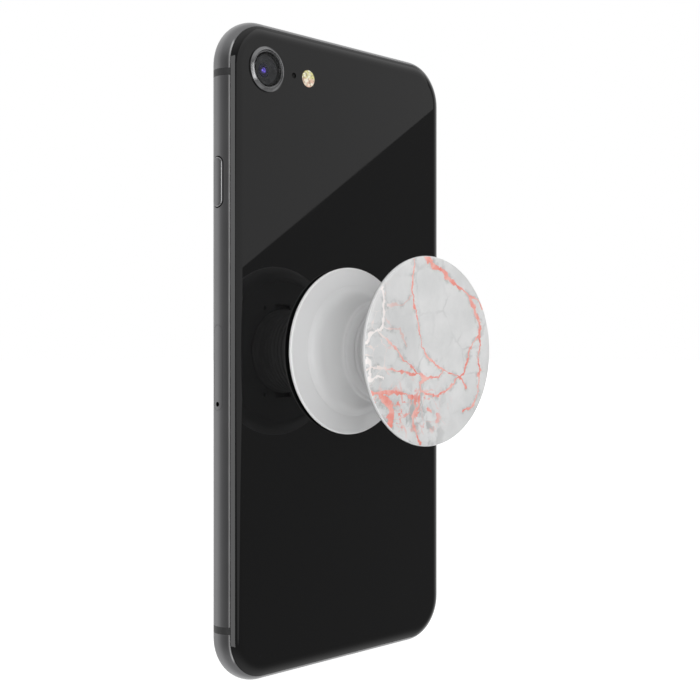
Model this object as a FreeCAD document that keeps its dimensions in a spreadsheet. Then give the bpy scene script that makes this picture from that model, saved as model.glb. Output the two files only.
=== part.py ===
import FreeCAD, Part

import math
import os
import Sketcher

# A smartphone with a telescopic disc grip stuck to its back, as a parametric FreeCAD document.
#
# Frame: the origin is the centre of the screen's outer face. +Z runs to the top of the phone, +X to the
# right of someone who looks at the screen, and +Y from the screen through the phone to its back.

Vector = FreeCAD.Vector
Y_TURN = FreeCAD.Rotation(Vector(1, 0, 0), -90)
X_TURN = FreeCAD.Rotation(Vector(0, 1, 0), 90)
FLIP_Z = FreeCAD.Rotation(Vector(1, 0, 0), 180)
QUARTER = 90
FULL_TURN = 360

DIMENSIONS = {
    # casing
    "phone_width": 67.3,
    "phone_height": 138.4,
    "phone_depth": 7.3,
    "corner_radius": 10.0,
    "edge_radius": 3.6,
    "glass_depth": 0.9,
    "seal_depth": 0.1,
    "seal_inset": 1.4,
    "rail_wall": 2.45,
    "midplate_front": 5.5,
    "midplate_depth": 0.4,
    "band_centre": 57.3,
    "band_height": 1.5,
    "fit_gap": 0.1,
    # rear camera, flash and microphone
    "camera_x": 23.4,
    "camera_z": 59.0,
    "camera_ring_base": 9.45,
    "camera_ring_top": 8.8,
    "camera_ring_rise": 0.8,
    "camera_ring_neck": 9.0,
    "camera_window_diameter": 7.3,
    "camera_window_depth": 0.5,
    "camera_window_rise": 0.12,
    "camera_housing_side": 9.6,
    "camera_housing_front": 2.9,
    "camera_housing_rear": 6.3,
    "camera_bore": 6.8,
    "camera_bore_floor": 3.4,
    "barrel_radius": 3.2,
    "barrel_front": 3.6,
    "barrel_rear": 6.95,
    "lens_radius": 1.45,
    "lens_seat": 6.1,
    "lens_dome": 0.4,
    "flash_x": 11.4,
    "flash_diameter": 3.65,
    "led_side": 1.15,
    "led_gap": 0.2,
    "led_depth": 0.15,
    "led_board_depth": 0.3,
    "led_board_side": 4.4,
    "microphone_x": 15.65,
    "microphone_diameter": 1.2,
    "microphone_mesh_depth": 0.2,
    "microphone_mesh_sink": 0.25,
    # screen side
    "ink_depth": 0.06,
    "screen_width": 58.5,
    "screen_height": 104.05,
    "panel_width": 60.0,
    "panel_height": 107.4,
    "panel_depth": 0.7,
    "backlight_depth": 0.6,
    "shield_depth": 0.2,
    "bezel_wall": 0.6,
    "bezel_depth": 0.9,
    "home_z": -60.4,
    "home_ring_outer": 10.9,
    "home_ring_inner": 10.1,
    "home_ring_depth": 1.4,
    "home_cover_depth": 0.55,
    "home_cover_sink": 0.2,
    "sensor_side": 6.8,
    "sensor_depth": 0.6,
    "earpiece_z": 61.8,
    "earpiece_length": 11.2,
    "earpiece_width": 1.35,
    "earpiece_mesh_depth": 0.3,
    "earpiece_mesh_sink": 0.3,
    "receiver_width": 15.0,
    "receiver_height": 6.0,
    "receiver_depth": 2.6,
    "front_camera_x": -10.6,
    "front_camera_side": 5.2,
    "front_camera_depth": 3.0,
    "front_lens_diameter": 2.6,
    # battery and boards
    "battery_x": -9.0,
    "battery_z": 1.0,
    "battery_width": 36.0,
    "battery_height": 90.0,
    "battery_depth": 2.6,
    "battery_front": 2.65,
    "battery_round": 0.7,
    "strip_width": 5.0,
    "strip_pitch": 11.0,
    "strip_depth": 0.2,
    "board_left": 10.0,
    "board_right": 28.6,
    "board_bottom": -44.0,
    "board_top": 52.5,
    "board_arm_left": -4.0,
    "board_arm_bottom": 47.2,
    "board_front": 4.6,
    "board_depth": 0.7,
    "can_left": 11.0,
    "can_right": 27.8,
    "can_wall": 0.2,
    "can_depth": 1.8,
    "upper_can_bottom": 7.5,
    "upper_can_top": 46.0,
    "lower_can_bottom": -43.0,
    "lower_can_top": -13.5,
    # wireless charging coil
    "coil_outer": 42.0,
    "coil_turn_width": 0.7,
    "coil_turn_pitch": 0.9,
    "coil_depth": 0.3,
    "coil_z": 2.0,
    # SIM tray and its ejector
    "tray_plate_length": 17.5,
    "tray_plate_width": 2.5,
    "tray_plate_z": -3.35,
    "tray_plate_depth": 1.0,
    "tray_seal_depth": 0.2,
    "tray_tail": 17.0,
    "tray_width": 11.2,
    "tray_z": -1.6,
    "tray_depth": 0.9,
    "card_width": 8.8,
    "card_length": 12.3,
    "card_depth": 0.67,
    "card_outer": 30.9,
    "eject_z": -10.9,
    "eject_diameter": 1.0,
    "reader_inner": 17.7,
    "reader_outer": 29.2,
    "reader_front": 2.75,
    "reader_wall": 0.35,
    "reader_gap": 0.2,
    "rod_side": 0.7,
    "rod_outer": 30.6,
    "lever_x": 16.35,
    "lever_width": 0.9,
    "lever_bottom": -11.5,
    "lever_top": -3.6,
    "pivot_z": -8.9,
    "pivot_radius": 0.25,
    "pivot_clearance": 0.05,
    "pivot_ear": 1.1,
    # buttons
    "button_width": 2.6,
    "button_gap": 0.18,
    "button_proud": 0.3,
    "button_flange_extra": 0.5,
    "button_flange_depth": 0.6,
    "side_button_length": 10.3,
    "side_button_z": 34.8,
    "volume_button_length": 9.0,
    "volume_up_z": 34.8,
    "volume_down_z": 22.4,
    "switch_face": 30.1,
    "switch_depth": 1.0,
    "switch_height": 4.0,
    "switch_width": 2.4,
    "mute_z": 46.6,
    "mute_slot_length": 6.2,
    "mute_slot_width": 2.8,
    "mute_lever_length": 5.2,
    "mute_lever_width": 1.5,
    "mute_offset": 0.55,
    "mute_shoe_length": 7.0,
    "mute_shoe_width": 2.3,
    "mute_shoe_depth": 0.5,
    "mute_base_depth": 0.6,
    "mute_base_width": 2.5,
    "mute_base_shift": 0.1,
    # bottom edge
    "port_width": 9.0,
    "port_height": 3.1,
    "port_wall": 0.25,
    "port_depth": 7.0,
    "contact_count_width": 0.45,
    "contact_pitch": 0.8,
    "contact_length": 4.5,
    "contact_depth": 0.12,
    "screw_x": 6.9,
    "screw_head_diameter": 1.6,
    "screw_head_depth": 0.6,
    "screw_shank_diameter": 1.0,
    "screw_length": 3.4,
    "screw_sink": 0.25,
    "screw_recess_depth": 0.35,
    "screw_lobe_diameter": 0.32,
    "screw_lobe_ring": 0.26,
    "hole_diameter": 1.35,
    "hole_first_x": 10.6,
    "hole_pitch": 2.3,
    "mesh_height": 2.2,
    "mesh_width": 13.6,
    "mesh_depth": 0.3,
    "speaker_left": 8.0,
    "speaker_right": 28.4,
    "speaker_bottom": -64.4,
    "speaker_top": -47.0,
    "module_front": 2.65,
    "module_depth": 2.75,
    "speaker_corner": 2.0,
    # haptic motor
    "motor_x": -11.5,
    "motor_z": -50.6,
    "motor_width": 31.0,
    "motor_height": 9.2,
    "motor_wall": 0.3,
    "weight_width": 21.0,
    "weight_height": 7.6,
    "weight_depth": 1.7,
    "spring_height": 5.6,
    "spring_leaf": 0.25,
    # grip on the back
    "grip_x": -0.9,
    "pad_radius": 16.5,
    "pad_depth": 0.5,
    "base_radius": 18.6,
    "base_top": 2.1,
    "base_edge": 0.4,
    "base_rim_top": 1.0,
    "foot_radius": 14.6,
    "skirt_radius": 12.1,
    "skirt_top": 6.0,
    "fold_radius": 11.3,
    "fold_top": 9.2,
    "neck_low_radius": 10.3,
    "neck_low": 10.0,
    "neck_high_radius": 9.4,
    "neck_high": 18.7,
    "flange_radius": 9.2,
    "bellows_top": 21.7,
    "bellows_wall": 1.0,
    "hub_radius": 9.6,
    "hub_top": 23.3,
    "lug_reach": 1.1,
    "lug_width": 4.4,
    "lug_low": 22.4,
    "lug_high": 23.0,
    "top_radius": 20.0,
    "rim_low": 21.6,
    "rim_inner": 16.6,
    "rim_foot": 17.3,
    "rim_edge_low": 23.4,
    "plate_low": 21.8,
    "plate_depth": 0.5,
    "plate_hole_x": 5.8,
    "plate_hole_z": 10.1,
    "plate_hole_diameter": 1.0,
    "socket_radius": 11.0,
    "socket_roof": 23.5,
    "top_face": 24.0,
    "rim_round": 0.2,
    "print_depth": 0.5,
    "print_radius": 19.9,
}

SPEAKER_HOLES = 6
COIL_TURNS = 11
CONTACTS = 8
SCREW_LOBES = 5
STRIPS = 3


class Size:
    """A length with its spreadsheet expression and its present value in millimetres."""

    def __init__(self, text, value):
        self.text = text
        self.value = value

    def __add__(self, other):
        other = size(other)
        return Size(f"({self.text} + {other.text})", self.value + other.value)

    def __sub__(self, other):
        other = size(other)
        return Size(f"({self.text} - {other.text})", self.value - other.value)

    def __mul__(self, other):
        other = size(other)
        return Size(f"({self.text} * {other.text})", self.value * other.value)

    def __truediv__(self, other):
        other = size(other)
        return Size(f"({self.text} / {other.text})", self.value / other.value)

    def __neg__(self):
        return Size(f"(0 - {self.text})", -self.value)

    __radd__ = __add__
    __rmul__ = __mul__

    def __rsub__(self, other):
        return size(other) - self


class Dimensions:
    """dim.phone_width is the Size of the spreadsheet cell phone_width."""

    def __getattr__(self, name):
        return Size(f"dims.{name}", DIMENSIONS[name])


def size(number):
    """Any number as a Size."""
    return number if isinstance(number, Size) else Size(f"({float(number)})", float(number))


dim = Dimensions()
doc = FreeCAD.newDocument("smartphone")
pieces = []


def fill_sheet():
    """Writes the driving dimensions into the spreadsheet, one named cell each."""
    sheet = doc.addObject("Spreadsheet::Sheet", "dims")
    for row, (name, value) in enumerate(DIMENSIONS.items(), start=1):
        sheet.set(f"A{row}", name)
        sheet.set(f"B{row}", str(value))
        sheet.setAlias(f"B{row}", name)
    doc.recompute()


def bind(thing, prop, value):
    """Ties one property of an object to the spreadsheet."""
    thing.setExpression(prop, size(value).text)


def place(thing, x=0, y=0, z=0, turn=None):
    """Ties an object's position to the spreadsheet, after an optional turn."""
    if turn is not None:
        thing.Placement = FreeCAD.Placement(Vector(0, 0, 0), turn)
    for axis, value in (("x", x), ("y", y), ("z", z)):
        bind(thing, f"Placement.Base.{axis}", value)
    return thing


def keep(label, thing):
    """Names a finished sub-part, which is written to a file of that name."""
    thing.Label = label
    pieces.append(thing)
    return thing


# Sketches, all centred on their own origin


def new_sketch(body, plane):
    """An empty sketch on one of a body's own origin planes."""
    sketch = body.newObject("Sketcher::SketchObject", "Sketch")
    support = [f for f in body.Origin.OriginFeatures if f.Role == plane][0]
    sketch.AttachmentSupport = [(support, "")]
    sketch.MapMode = "FlatFace"
    return sketch


def rule(sketch, *parts):
    """Adds one geometric constraint."""
    return sketch.addConstraint(Sketcher.Constraint(*parts))


def measure(sketch, value, *parts):
    """Adds one dimensional constraint and ties it to the spreadsheet."""
    value = size(value)
    index = rule(sketch, *parts, value.value)
    sketch.setExpression(f"Constraints[{index}]", value.text)


def draw_polygon(sketch, points):
    """A closed outline of straight lines through the given points."""
    points = [(size(x), size(y)) for x, y in points]
    first = sketch.GeometryCount
    count = len(points)
    for i, (x, y) in enumerate(points):
        end_x, end_y = points[(i + 1) % count]
        start = Vector(x.value, y.value, 0)
        sketch.addGeometry(Part.LineSegment(start, Vector(end_x.value, end_y.value, 0)))
    for i in range(count):
        rule(sketch, "Coincident", first + i, 2, first + (i + 1) % count, 1)
    for i, (x, y) in enumerate(points):
        if x.value == 0:
            rule(sketch, "PointOnObject", first + i, 1, -2)
        else:
            measure(sketch, x, "DistanceX", -1, 1, first + i, 1)
        if y.value == 0:
            rule(sketch, "PointOnObject", first + i, 1, -1)
        else:
            measure(sketch, y, "DistanceY", -1, 1, first + i, 1)


def draw_circle(sketch, diameter):
    """A circle about the sketch's origin."""
    index = sketch.addGeometry(Part.Circle(Vector(0, 0, 0), Vector(0, 0, 1), diameter.value / 2))
    rule(sketch, "Coincident", index, 3, -1, 1)
    measure(sketch, diameter, "Diameter", index)


def add_arc(sketch, x, y, radius, start):
    """A quarter arc about (x, y), from the start angle in degrees."""
    circle = Part.Circle(Vector(x, y, 0), Vector(0, 0, 1), radius)
    first = math.radians(start)
    return sketch.addGeometry(Part.ArcOfCircle(circle, first, first + math.pi / 2))


def draw_rectangle(sketch, width, height, radius=None):
    """A rectangle about the sketch's origin, with rounded corners if a radius is given."""
    half_w, half_h = width.value / 2, height.value / 2
    if radius is None:
        x, y = width / 2, height / 2
        draw_polygon(sketch, [(-x, -y), (x, -y), (x, y), (-x, y)])
        return
    first = sketch.GeometryCount
    r = radius.value
    turns = [
        ((r - half_w, -half_h), (half_w - r, -half_h), (half_w - r, r - half_h), -QUARTER),
        ((half_w, r - half_h), (half_w, half_h - r), (half_w - r, half_h - r), 0),
        ((half_w - r, half_h), (r - half_w, half_h), (r - half_w, half_h - r), QUARTER),
        ((-half_w, half_h - r), (-half_w, r - half_h), (r - half_w, r - half_h), 2 * QUARTER),
    ]
    for start, end, centre, angle in turns:
        sketch.addGeometry(Part.LineSegment(Vector(*start, 0), Vector(*end, 0)))
        add_arc(sketch, *centre, r, angle)
    for i in range(8):
        rule(sketch, "Tangent", first + i, 2, first + (i + 1) % 8, 1)
    for i in (0, 4):
        rule(sketch, "Horizontal", first + i)
        rule(sketch, "Vertical", first + i + 2)
    for i in (3, 5, 7):
        rule(sketch, "Equal", first + 1, first + i)
    rule(sketch, "Symmetric", first + 1, 3, first + 5, 3, -1, 1)
    measure(sketch, radius, "Radius", first + 1)
    measure(sketch, width, "DistanceX", first + 6, 1, first + 2, 1)
    measure(sketch, height, "DistanceY", first, 1, first + 4, 1)


def draw_slot(sketch, length, width, upright=True):
    """A slot with round ends about the sketch's origin, long way up or long way across."""
    first = sketch.GeometryCount
    r, reach = width.value / 2, (length.value - width.value) / 2
    start = 0 if upright else QUARTER
    along = Vector(0, reach, 0) if upright else Vector(-reach, 0, 0)
    across = Vector(r, 0, 0) if upright else Vector(0, r, 0)
    for sign, angle in ((1, start), (-1, start + 2 * QUARTER)):
        circle = Part.Circle(along * sign, Vector(0, 0, 1), r)
        begin = math.radians(angle)
        sketch.addGeometry(Part.ArcOfCircle(circle, begin, begin + math.pi))
        side = across * -sign
        sketch.addGeometry(Part.LineSegment(along * sign + side, side - along * sign))
    for i in range(4):
        rule(sketch, "Tangent", first + i, 2, first + (i + 1) % 4, 1)
    rule(sketch, "Equal", first, first + 2)
    rule(sketch, "Symmetric", first, 3, first + 2, 3, -1, 1)
    rule(sketch, "Vertical" if upright else "Horizontal", first + 1)
    measure(sketch, width / 2, "Radius", first)
    if upright:
        measure(sketch, length - width, "DistanceY", first + 2, 3, first, 3)
    else:
        measure(sketch, length - width, "DistanceX", first, 3, first + 2, 3)


# Solids

PLANES = {"x": ("YZ_Plane", False), "y": ("XZ_Plane", True), "z": ("XY_Plane", False)}


def extrude(name, depth, draw, at=(0, 0, 0), along="y"):
    """A body padded from the outlines that draw() puts on its sketch, towards +X, +Y or +Z."""
    plane, reverse = PLANES[along]
    body = doc.addObject("PartDesign::Body", name)
    sketch = new_sketch(body, plane)
    draw(sketch)
    pad = body.newObject("PartDesign::Pad", "Pad")
    pad.Profile = sketch
    pad.Reversed = reverse
    bind(pad, "Length", depth)
    return place(body, *at)


def plate(name, width, height, depth, at=(0, 0, 0), along="y", radius=None, hole=None):
    """A flat rectangular piece, centred on its outline, with an optional centred (width, height) hole."""

    def draw(sketch):
        draw_rectangle(sketch, size(width), size(height), radius)
        if hole is not None:
            draw_rectangle(sketch, *[size(side) for side in hole])

    return extrude(name, depth, draw, at, along)


def disc(name, diameter, depth, at=(0, 0, 0), along="y", bore=None):
    """A round flat piece with an optional bore."""

    def draw(sketch):
        draw_circle(sketch, size(diameter))
        if bore is not None:
            draw_circle(sketch, size(bore))

    return extrude(name, depth, draw, at, along)


def slot_bar(name, length, width, depth, at=(0, 0, 0), along="y", upright=True):
    """A bar of slot-shaped section."""
    return extrude(name, depth, lambda s: draw_slot(s, size(length), size(width), upright), at, along)


def turned(name, profile, at=(0, 0, 0), axis="y"):
    """A body of revolution about Y or Z through the given (radius, height) points."""
    body = doc.addObject("PartDesign::Body", name)
    sketch = new_sketch(body, "XY_Plane" if axis == "y" else "XZ_Plane")
    draw_polygon(sketch, profile)
    spin = body.newObject("PartDesign::Revolution", "Revolution")
    spin.Profile = sketch
    spin.ReferenceAxis = (sketch, ["V_Axis"])
    spin.Angle = FULL_TURN
    return place(body, *at)


def round_edges(body, radius, wanted):
    """Fillets the edges of a body's last feature that wanted(edge) accepts."""
    doc.recompute()
    last = body.Tip
    names = [f"Edge{i}" for i, edge in enumerate(last.Shape.Edges, start=1) if wanted(edge)]
    fillet = body.newObject("PartDesign::Fillet", "Fillet")
    fillet.Base = (last, names)
    bind(fillet, "Radius", radius)
    return body


def box(name, low, high):
    """A block between two corners."""
    block = doc.addObject("Part::Box", name)
    sides = [size(end) - start for start, end in zip(low, high)]
    for prop, side in zip(("Length", "Width", "Height"), sides):
        bind(block, prop, side)
    return place(block, *low)


def rod(name, diameter, length, at, axis):
    """A round bar from a point towards +X, +Y or +Z."""
    bar = doc.addObject("Part::Cylinder", name)
    bind(bar, "Radius", size(diameter) / 2)
    bind(bar, "Height", length)
    return place(bar, *at, turn={"x": X_TURN, "y": Y_TURN, "z": FreeCAD.Rotation()}[axis])


def joined(name, *shapes):
    """One solid fused from several."""
    fuse = doc.addObject("Part::MultiFuse", name)
    fuse.Shapes = list(shapes)
    return fuse


def group(name, *shapes):
    """Separate solids kept together as one sub-part."""
    compound = doc.addObject("Part::Compound", name)
    compound.Links = list(shapes)
    return compound


def cut(name, base, *tools):
    """The base with the tools taken away."""
    result = doc.addObject("Part::Cut", name)
    result.Base = base
    result.Tool = tools[0] if len(tools) == 1 else joined(name + "_tools", *tools)
    return result


def overlap(name, one, other):
    """What two solids share."""
    result = doc.addObject("Part::Common", name)
    result.Base = one
    result.Tool = other
    return result


# Places that several pieces share

half_width = dim.phone_width / 2
half_height = dim.phone_height / 2
middle_y = dim.phone_depth / 2
rear_glass_front = dim.phone_depth - dim.glass_depth
frame_front = dim.glass_depth + dim.seal_depth
frame_rear = rear_glass_front - dim.seal_depth
cavity_width = dim.phone_width - 2 * dim.rail_wall
cavity_height = dim.phone_height - 2 * dim.rail_wall
cavity_radius = dim.corner_radius - dim.rail_wall
inner_wall = half_width - dim.rail_wall
floor_z = -half_height
band_low = dim.band_centre - dim.band_height / 2
band_high = dim.band_centre + dim.band_height / 2
midplate_rear = dim.midplate_front + dim.midplate_depth
camera = (dim.camera_x, dim.camera_z)
BIG = 200
SIDES = {"left": -1, "right": 1}


def slab(name, low_y, high_y):
    """Everything between two depths of the phone."""
    return box(name, (-BIG, low_y, -BIG), (BIG, high_y, BIG))


def zone(name, low_z, high_z):
    """Everything between two heights of the phone."""
    return box(name, (-BIG, -BIG, low_z), (BIG, BIG, high_z))


def casing_outline():
    """The phone's whole outer form: a rounded rectangle with full-round edges."""
    body = plate(
        "casing_outline", dim.phone_width, dim.phone_height, dim.phone_depth, radius=dim.corner_radius
    )
    depth = DIMENSIONS["phone_depth"]

    def on_a_face(edge):
        ys = [v.Point.y for v in edge.Vertexes]
        return max(ys) - min(ys) < 0.01 and min(abs(ys[0]), abs(ys[0] - depth)) < 0.01

    return round_edges(body, dim.edge_radius, on_a_face)


def side_opening(name, side, z, length, width, low_x, y=middle_y):
    """A slot-shaped tool through a side rail, from low_x outwards, centred at y and z."""
    start = low_x if side > 0 else -half_width - 1
    return slot_bar(name, length, width, half_width + 1 - low_x, (start, y, z), "x")


def button_openings():
    """The holes in the side rails for the buttons, the mute switch and the SIM tray."""
    gap = 2 * dim.button_gap
    wall = inner_wall - dim.fit_gap
    tools = []
    for name, side, z, length in (
        ("side_hole", 1, dim.side_button_z, dim.side_button_length),
        ("volume_up_hole", -1, dim.volume_up_z, dim.volume_button_length),
        ("volume_down_hole", -1, dim.volume_down_z, dim.volume_button_length),
    ):
        tools.append(side_opening(name, side, z, length + gap, dim.button_width + gap, wall))
    tools.append(side_opening("mute_hole", -1, dim.mute_z, dim.mute_slot_length, dim.mute_slot_width, wall))
    plate_length = dim.tray_plate_length + dim.fit_gap
    plate_width = dim.tray_plate_width + dim.fit_gap
    seat = half_width - dim.tray_plate_depth - dim.tray_seal_depth
    tools.append(side_opening("tray_seat", 1, dim.tray_plate_z, plate_length, plate_width, seat))
    gap_y = dim.tray_depth / 2 + dim.reader_gap
    gap_z = dim.tray_width / 2 + dim.reader_gap
    low = (wall, middle_y - gap_y, dim.tray_z - gap_z)
    tools.append(box("tray_tunnel", low, (half_width, middle_y + gap_y, dim.tray_z + gap_z)))
    tools.append(rod("eject_way", dim.eject_diameter, dim.rail_wall, (wall, middle_y, dim.eject_z), "x"))
    return tools


def bottom_openings():
    """The charging port, screw holes and speaker and microphone holes in the bottom edge."""
    port = slot_bar(
        "port_way",
        dim.port_width,
        dim.port_height,
        dim.rail_wall + 1,
        (0, middle_y, floor_z - 0.5),
        "z",
        False,
    )
    tools = [port]
    for side in SIDES.values():
        at = (side * dim.screw_x, middle_y, floor_z - 0.5)
        hole = dim.screw_head_diameter + dim.fit_gap
        seat = dim.screw_sink + dim.screw_head_depth + 0.5
        tools.append(rod("screw_seat", hole, seat, at, "z"))
        tools.append(rod("screw_way", dim.screw_shank_diameter, dim.rail_wall + 1, at, "z"))
        for i in range(SPEAKER_HOLES):
            x = side * (dim.hole_first_x + i * dim.hole_pitch)
            tools.append(
                rod("sound_hole", dim.hole_diameter, dim.rail_wall + 1, (x, middle_y, floor_z - 0.5), "z")
            )
    return tools


def insulator(name, ring, midplate, side, holes):
    """The plastic moulding that joins the middle of the frame to its top or bottom."""
    low, high = (band_low, band_high) if side > 0 else (-band_high, -band_low)
    end = (band_low, BIG) if side > 0 else (-BIG, -band_low)
    bands = overlap(name + "_bands", ring, zone(name + "_band_zone", low, high))
    web = overlap(name + "_web", midplate, zone(name + "_web_zone", *end))
    return keep(name, cut(name, joined(name + "_blank", bands, web), *holes))


def frame(outline):
    """The metal frame in three pieces, and the two plastic mouldings between them."""
    body = overlap("frame_body", outline, slab("frame_slab", frame_front, frame_rear))
    cavity = plate("cavity", cavity_width, cavity_height, dim.phone_depth, radius=cavity_radius)
    ring = cut("frame_ring", body, cavity)
    at = (0, dim.midplate_front, 0)
    midplate = plate("midplate", cavity_width, cavity_height, dim.midplate_depth, at, radius=cavity_radius)
    side = dim.camera_housing_side + 2 * dim.fit_gap
    window = plate("camera_way", side, side, dim.phone_depth, (dim.camera_x, 0, dim.camera_z))
    rails = overlap("rails", ring, zone("middle_zone", -band_low, band_low))
    floor = overlap("floor", midplate, zone("floor_zone", -band_low, band_low))
    middle = joined("frame_middle_blank", rails, floor)
    keep("frame_middle", cut("frame_middle", middle, window, *button_openings()))
    keep("frame_top", overlap("frame_top", ring, zone("top_zone", band_high, BIG)))
    bottom = overlap("frame_bottom_blank", ring, zone("bottom_zone", -BIG, -band_high))
    keep("frame_bottom", cut("frame_bottom", bottom, *bottom_openings()))
    insulator("antenna_insulator_top", ring, midplate, 1, [window])
    port = box("port_room", (-dim.screw_x, 5, -BIG), (dim.screw_x, BIG, floor_z + dim.rail_wall + 1))
    insulator("antenna_insulator_bottom", ring, midplate, -1, [port])


def inset_plate(name, depth, low_y, hole=None):
    """A thin plate of the phone's own outline, set a little inside its outer surface."""
    width, height = (side - 2 * dim.seal_inset for side in (dim.phone_width, dim.phone_height))
    return plate(
        name, width, height, depth, (0, low_y, 0), radius=dim.corner_radius - dim.seal_inset, hole=hole
    )


def seal(name, low_y):
    """A thin gasket between a glass and the frame."""
    ring = inset_plate(name + "_plate", dim.seal_depth, low_y)
    hole = plate(name + "_hole", cavity_width, cavity_height, dim.phone_depth, radius=cavity_radius)
    return keep(name, cut(name, ring, hole))


def rear_cover(outline):
    """The rear glass with its three round holes."""
    blank = overlap("rear_glass_blank", outline, slab("rear_slab", rear_glass_front, dim.phone_depth))
    holes = []
    for x, diameter in (
        (dim.camera_x, dim.camera_ring_neck + dim.fit_gap),
        (dim.flash_x, dim.flash_diameter + dim.fit_gap / 2),
        (dim.microphone_x, dim.microphone_diameter),
    ):
        holes.append(rod("rear_hole", diameter, dim.phone_depth, (x, 1, dim.camera_z), "y"))
    keep("rear_glass", cut("rear_glass", blank, *holes))


def rear_camera():
    """The camera's ring, window, housing, lens barrel and front lens."""
    at = (dim.camera_x, 0, dim.camera_z)
    glass = dim.phone_depth
    window_low = glass + dim.camera_window_rise
    window_high = window_low + dim.camera_window_depth
    top = glass + dim.camera_ring_rise
    bore = dim.camera_window_diameter / 2
    ring = turned(
        "camera_ring",
        [
            (bore - 0.35, rear_glass_front),
            (dim.camera_ring_neck / 2, rear_glass_front),
            (dim.camera_ring_neck / 2, glass),
            (dim.camera_ring_base / 2, glass),
            (dim.camera_ring_base / 2, glass + 0.25),
            (dim.camera_ring_top / 2, top),
            (bore + 0.25, top),
            (bore, window_high),
            (bore, window_low),
            (bore - 0.35, window_low),
        ],
        at,
    )
    keep("camera_ring", ring)
    window = disc(
        "camera_window", dim.camera_window_diameter, dim.camera_window_depth, (at[0], window_low, at[2])
    )
    keep("camera_window", window)
    side = dim.camera_housing_side
    depth = dim.camera_housing_rear - dim.camera_housing_front
    block = plate(
        "camera_block", side, side, depth, (at[0], dim.camera_housing_front, at[2]), radius=size(0.6)
    )
    bore_tool = rod(
        "camera_bore", dim.camera_bore, dim.phone_depth, (at[0], dim.camera_bore_floor, at[2]), "y"
    )
    keep("camera_housing", cut("camera_housing", block, bore_tool))
    r = dim.lens_radius
    barrel = turned(
        "camera_lens_barrel",
        [
            (0, dim.barrel_front),
            (dim.barrel_radius, dim.barrel_front),
            (dim.barrel_radius, dim.barrel_rear),
            (dim.barrel_radius - 0.3, dim.barrel_rear),
            (dim.barrel_radius - 0.5, dim.barrel_rear - 0.2),
            (r + 0.8, dim.barrel_rear - 0.2),
            (r + 0.55, dim.lens_seat + 0.4),
            (r + 0.2, dim.lens_seat + 0.4),
            (r + 0.05, dim.lens_seat),
            (0, dim.lens_seat),
        ],
        at,
    )
    keep("camera_lens_barrel", barrel)
    dome = dim.lens_dome
    seat = dim.lens_seat
    lens = turned(
        "camera_front_lens",
        [
            (0, seat),
            (r, seat),
            (r, seat + 0.12),
            (r * 0.7, seat + dome * 0.7),
            (r * 0.35, seat + dome),
            (0, seat + dome),
        ],
        at,
    )
    keep("camera_front_lens", lens)


def flash():
    """The flash window flush in the rear glass, and the board with four LEDs behind it."""
    x, z = dim.flash_x, dim.camera_z
    board_y = rear_glass_front - dim.led_depth - dim.led_board_depth
    lens = disc("flash_lens", dim.flash_diameter, dim.glass_depth, (x, rear_glass_front, z))
    keep("flash_lens", lens)
    side = dim.led_board_side
    board = plate("led_board", side, side, dim.led_board_depth, (x, board_y, z))
    parts = [board]
    step = (dim.led_side + dim.led_gap) / 2
    for across in SIDES.values():
        for up in SIDES.values():
            at = (x + across * step, board_y + dim.led_board_depth, z + up * step)
            parts.append(plate("led", dim.led_side, dim.led_side, dim.led_depth, at))
    keep("flash_led_board", joined("flash_led_board", *parts))


def rear_microphone():
    """The mesh in the microphone hole beside the flash."""
    y = dim.phone_depth - dim.microphone_mesh_sink - dim.microphone_mesh_depth
    at = (dim.microphone_x, y, dim.camera_z)
    keep(
        "rear_microphone_mesh",
        disc("rear_microphone_mesh", dim.microphone_diameter, dim.microphone_mesh_depth, at),
    )


def charging_coil():
    """The flat wireless charging coil: close-wound turns on a thin backing ring."""
    profile = []
    backing = size(0.1)
    outer = dim.coil_outer / 2
    inner = outer - COIL_TURNS * dim.coil_turn_pitch
    profile.append((inner, 0))
    profile.append((outer, 0))
    for i in range(COIL_TURNS):
        edge = outer - i * dim.coil_turn_pitch
        profile.append((edge, dim.coil_depth))
        profile.append((edge - dim.coil_turn_width, dim.coil_depth))
        profile.append((edge - dim.coil_turn_width, backing))
        profile.append((edge - dim.coil_turn_pitch, backing))
    coil = turned("wireless_charging_coil", profile, (0, midplate_rear, dim.coil_z))
    keep("wireless_charging_coil", coil)


def cover_glass(outline):
    """The front glass with its two holes, and the black border printed behind it."""
    ink_front = dim.glass_depth - dim.ink_depth
    blank = overlap("cover_blank", outline, slab("cover_slab", 0, ink_front))
    home = rod("home_hole", dim.home_ring_outer + dim.fit_gap, 3, (0, -1, dim.home_z), "y")
    slot = slot_bar(
        "earpiece_hole", dim.earpiece_length, dim.earpiece_width, 3, (0, -1, dim.earpiece_z), "y", False
    )
    keep("cover_glass", cut("cover_glass", blank, home, slot))
    hole = (dim.screen_width, dim.screen_height)
    ink = inset_plate("ink_plate", dim.ink_depth, ink_front, hole)
    eye = rod("front_camera_hole", dim.front_lens_diameter, 3, (dim.front_camera_x, 0, dim.earpiece_z), "y")
    keep("display_ink_border", cut("display_ink_border", ink, home, slot, eye))


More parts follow.
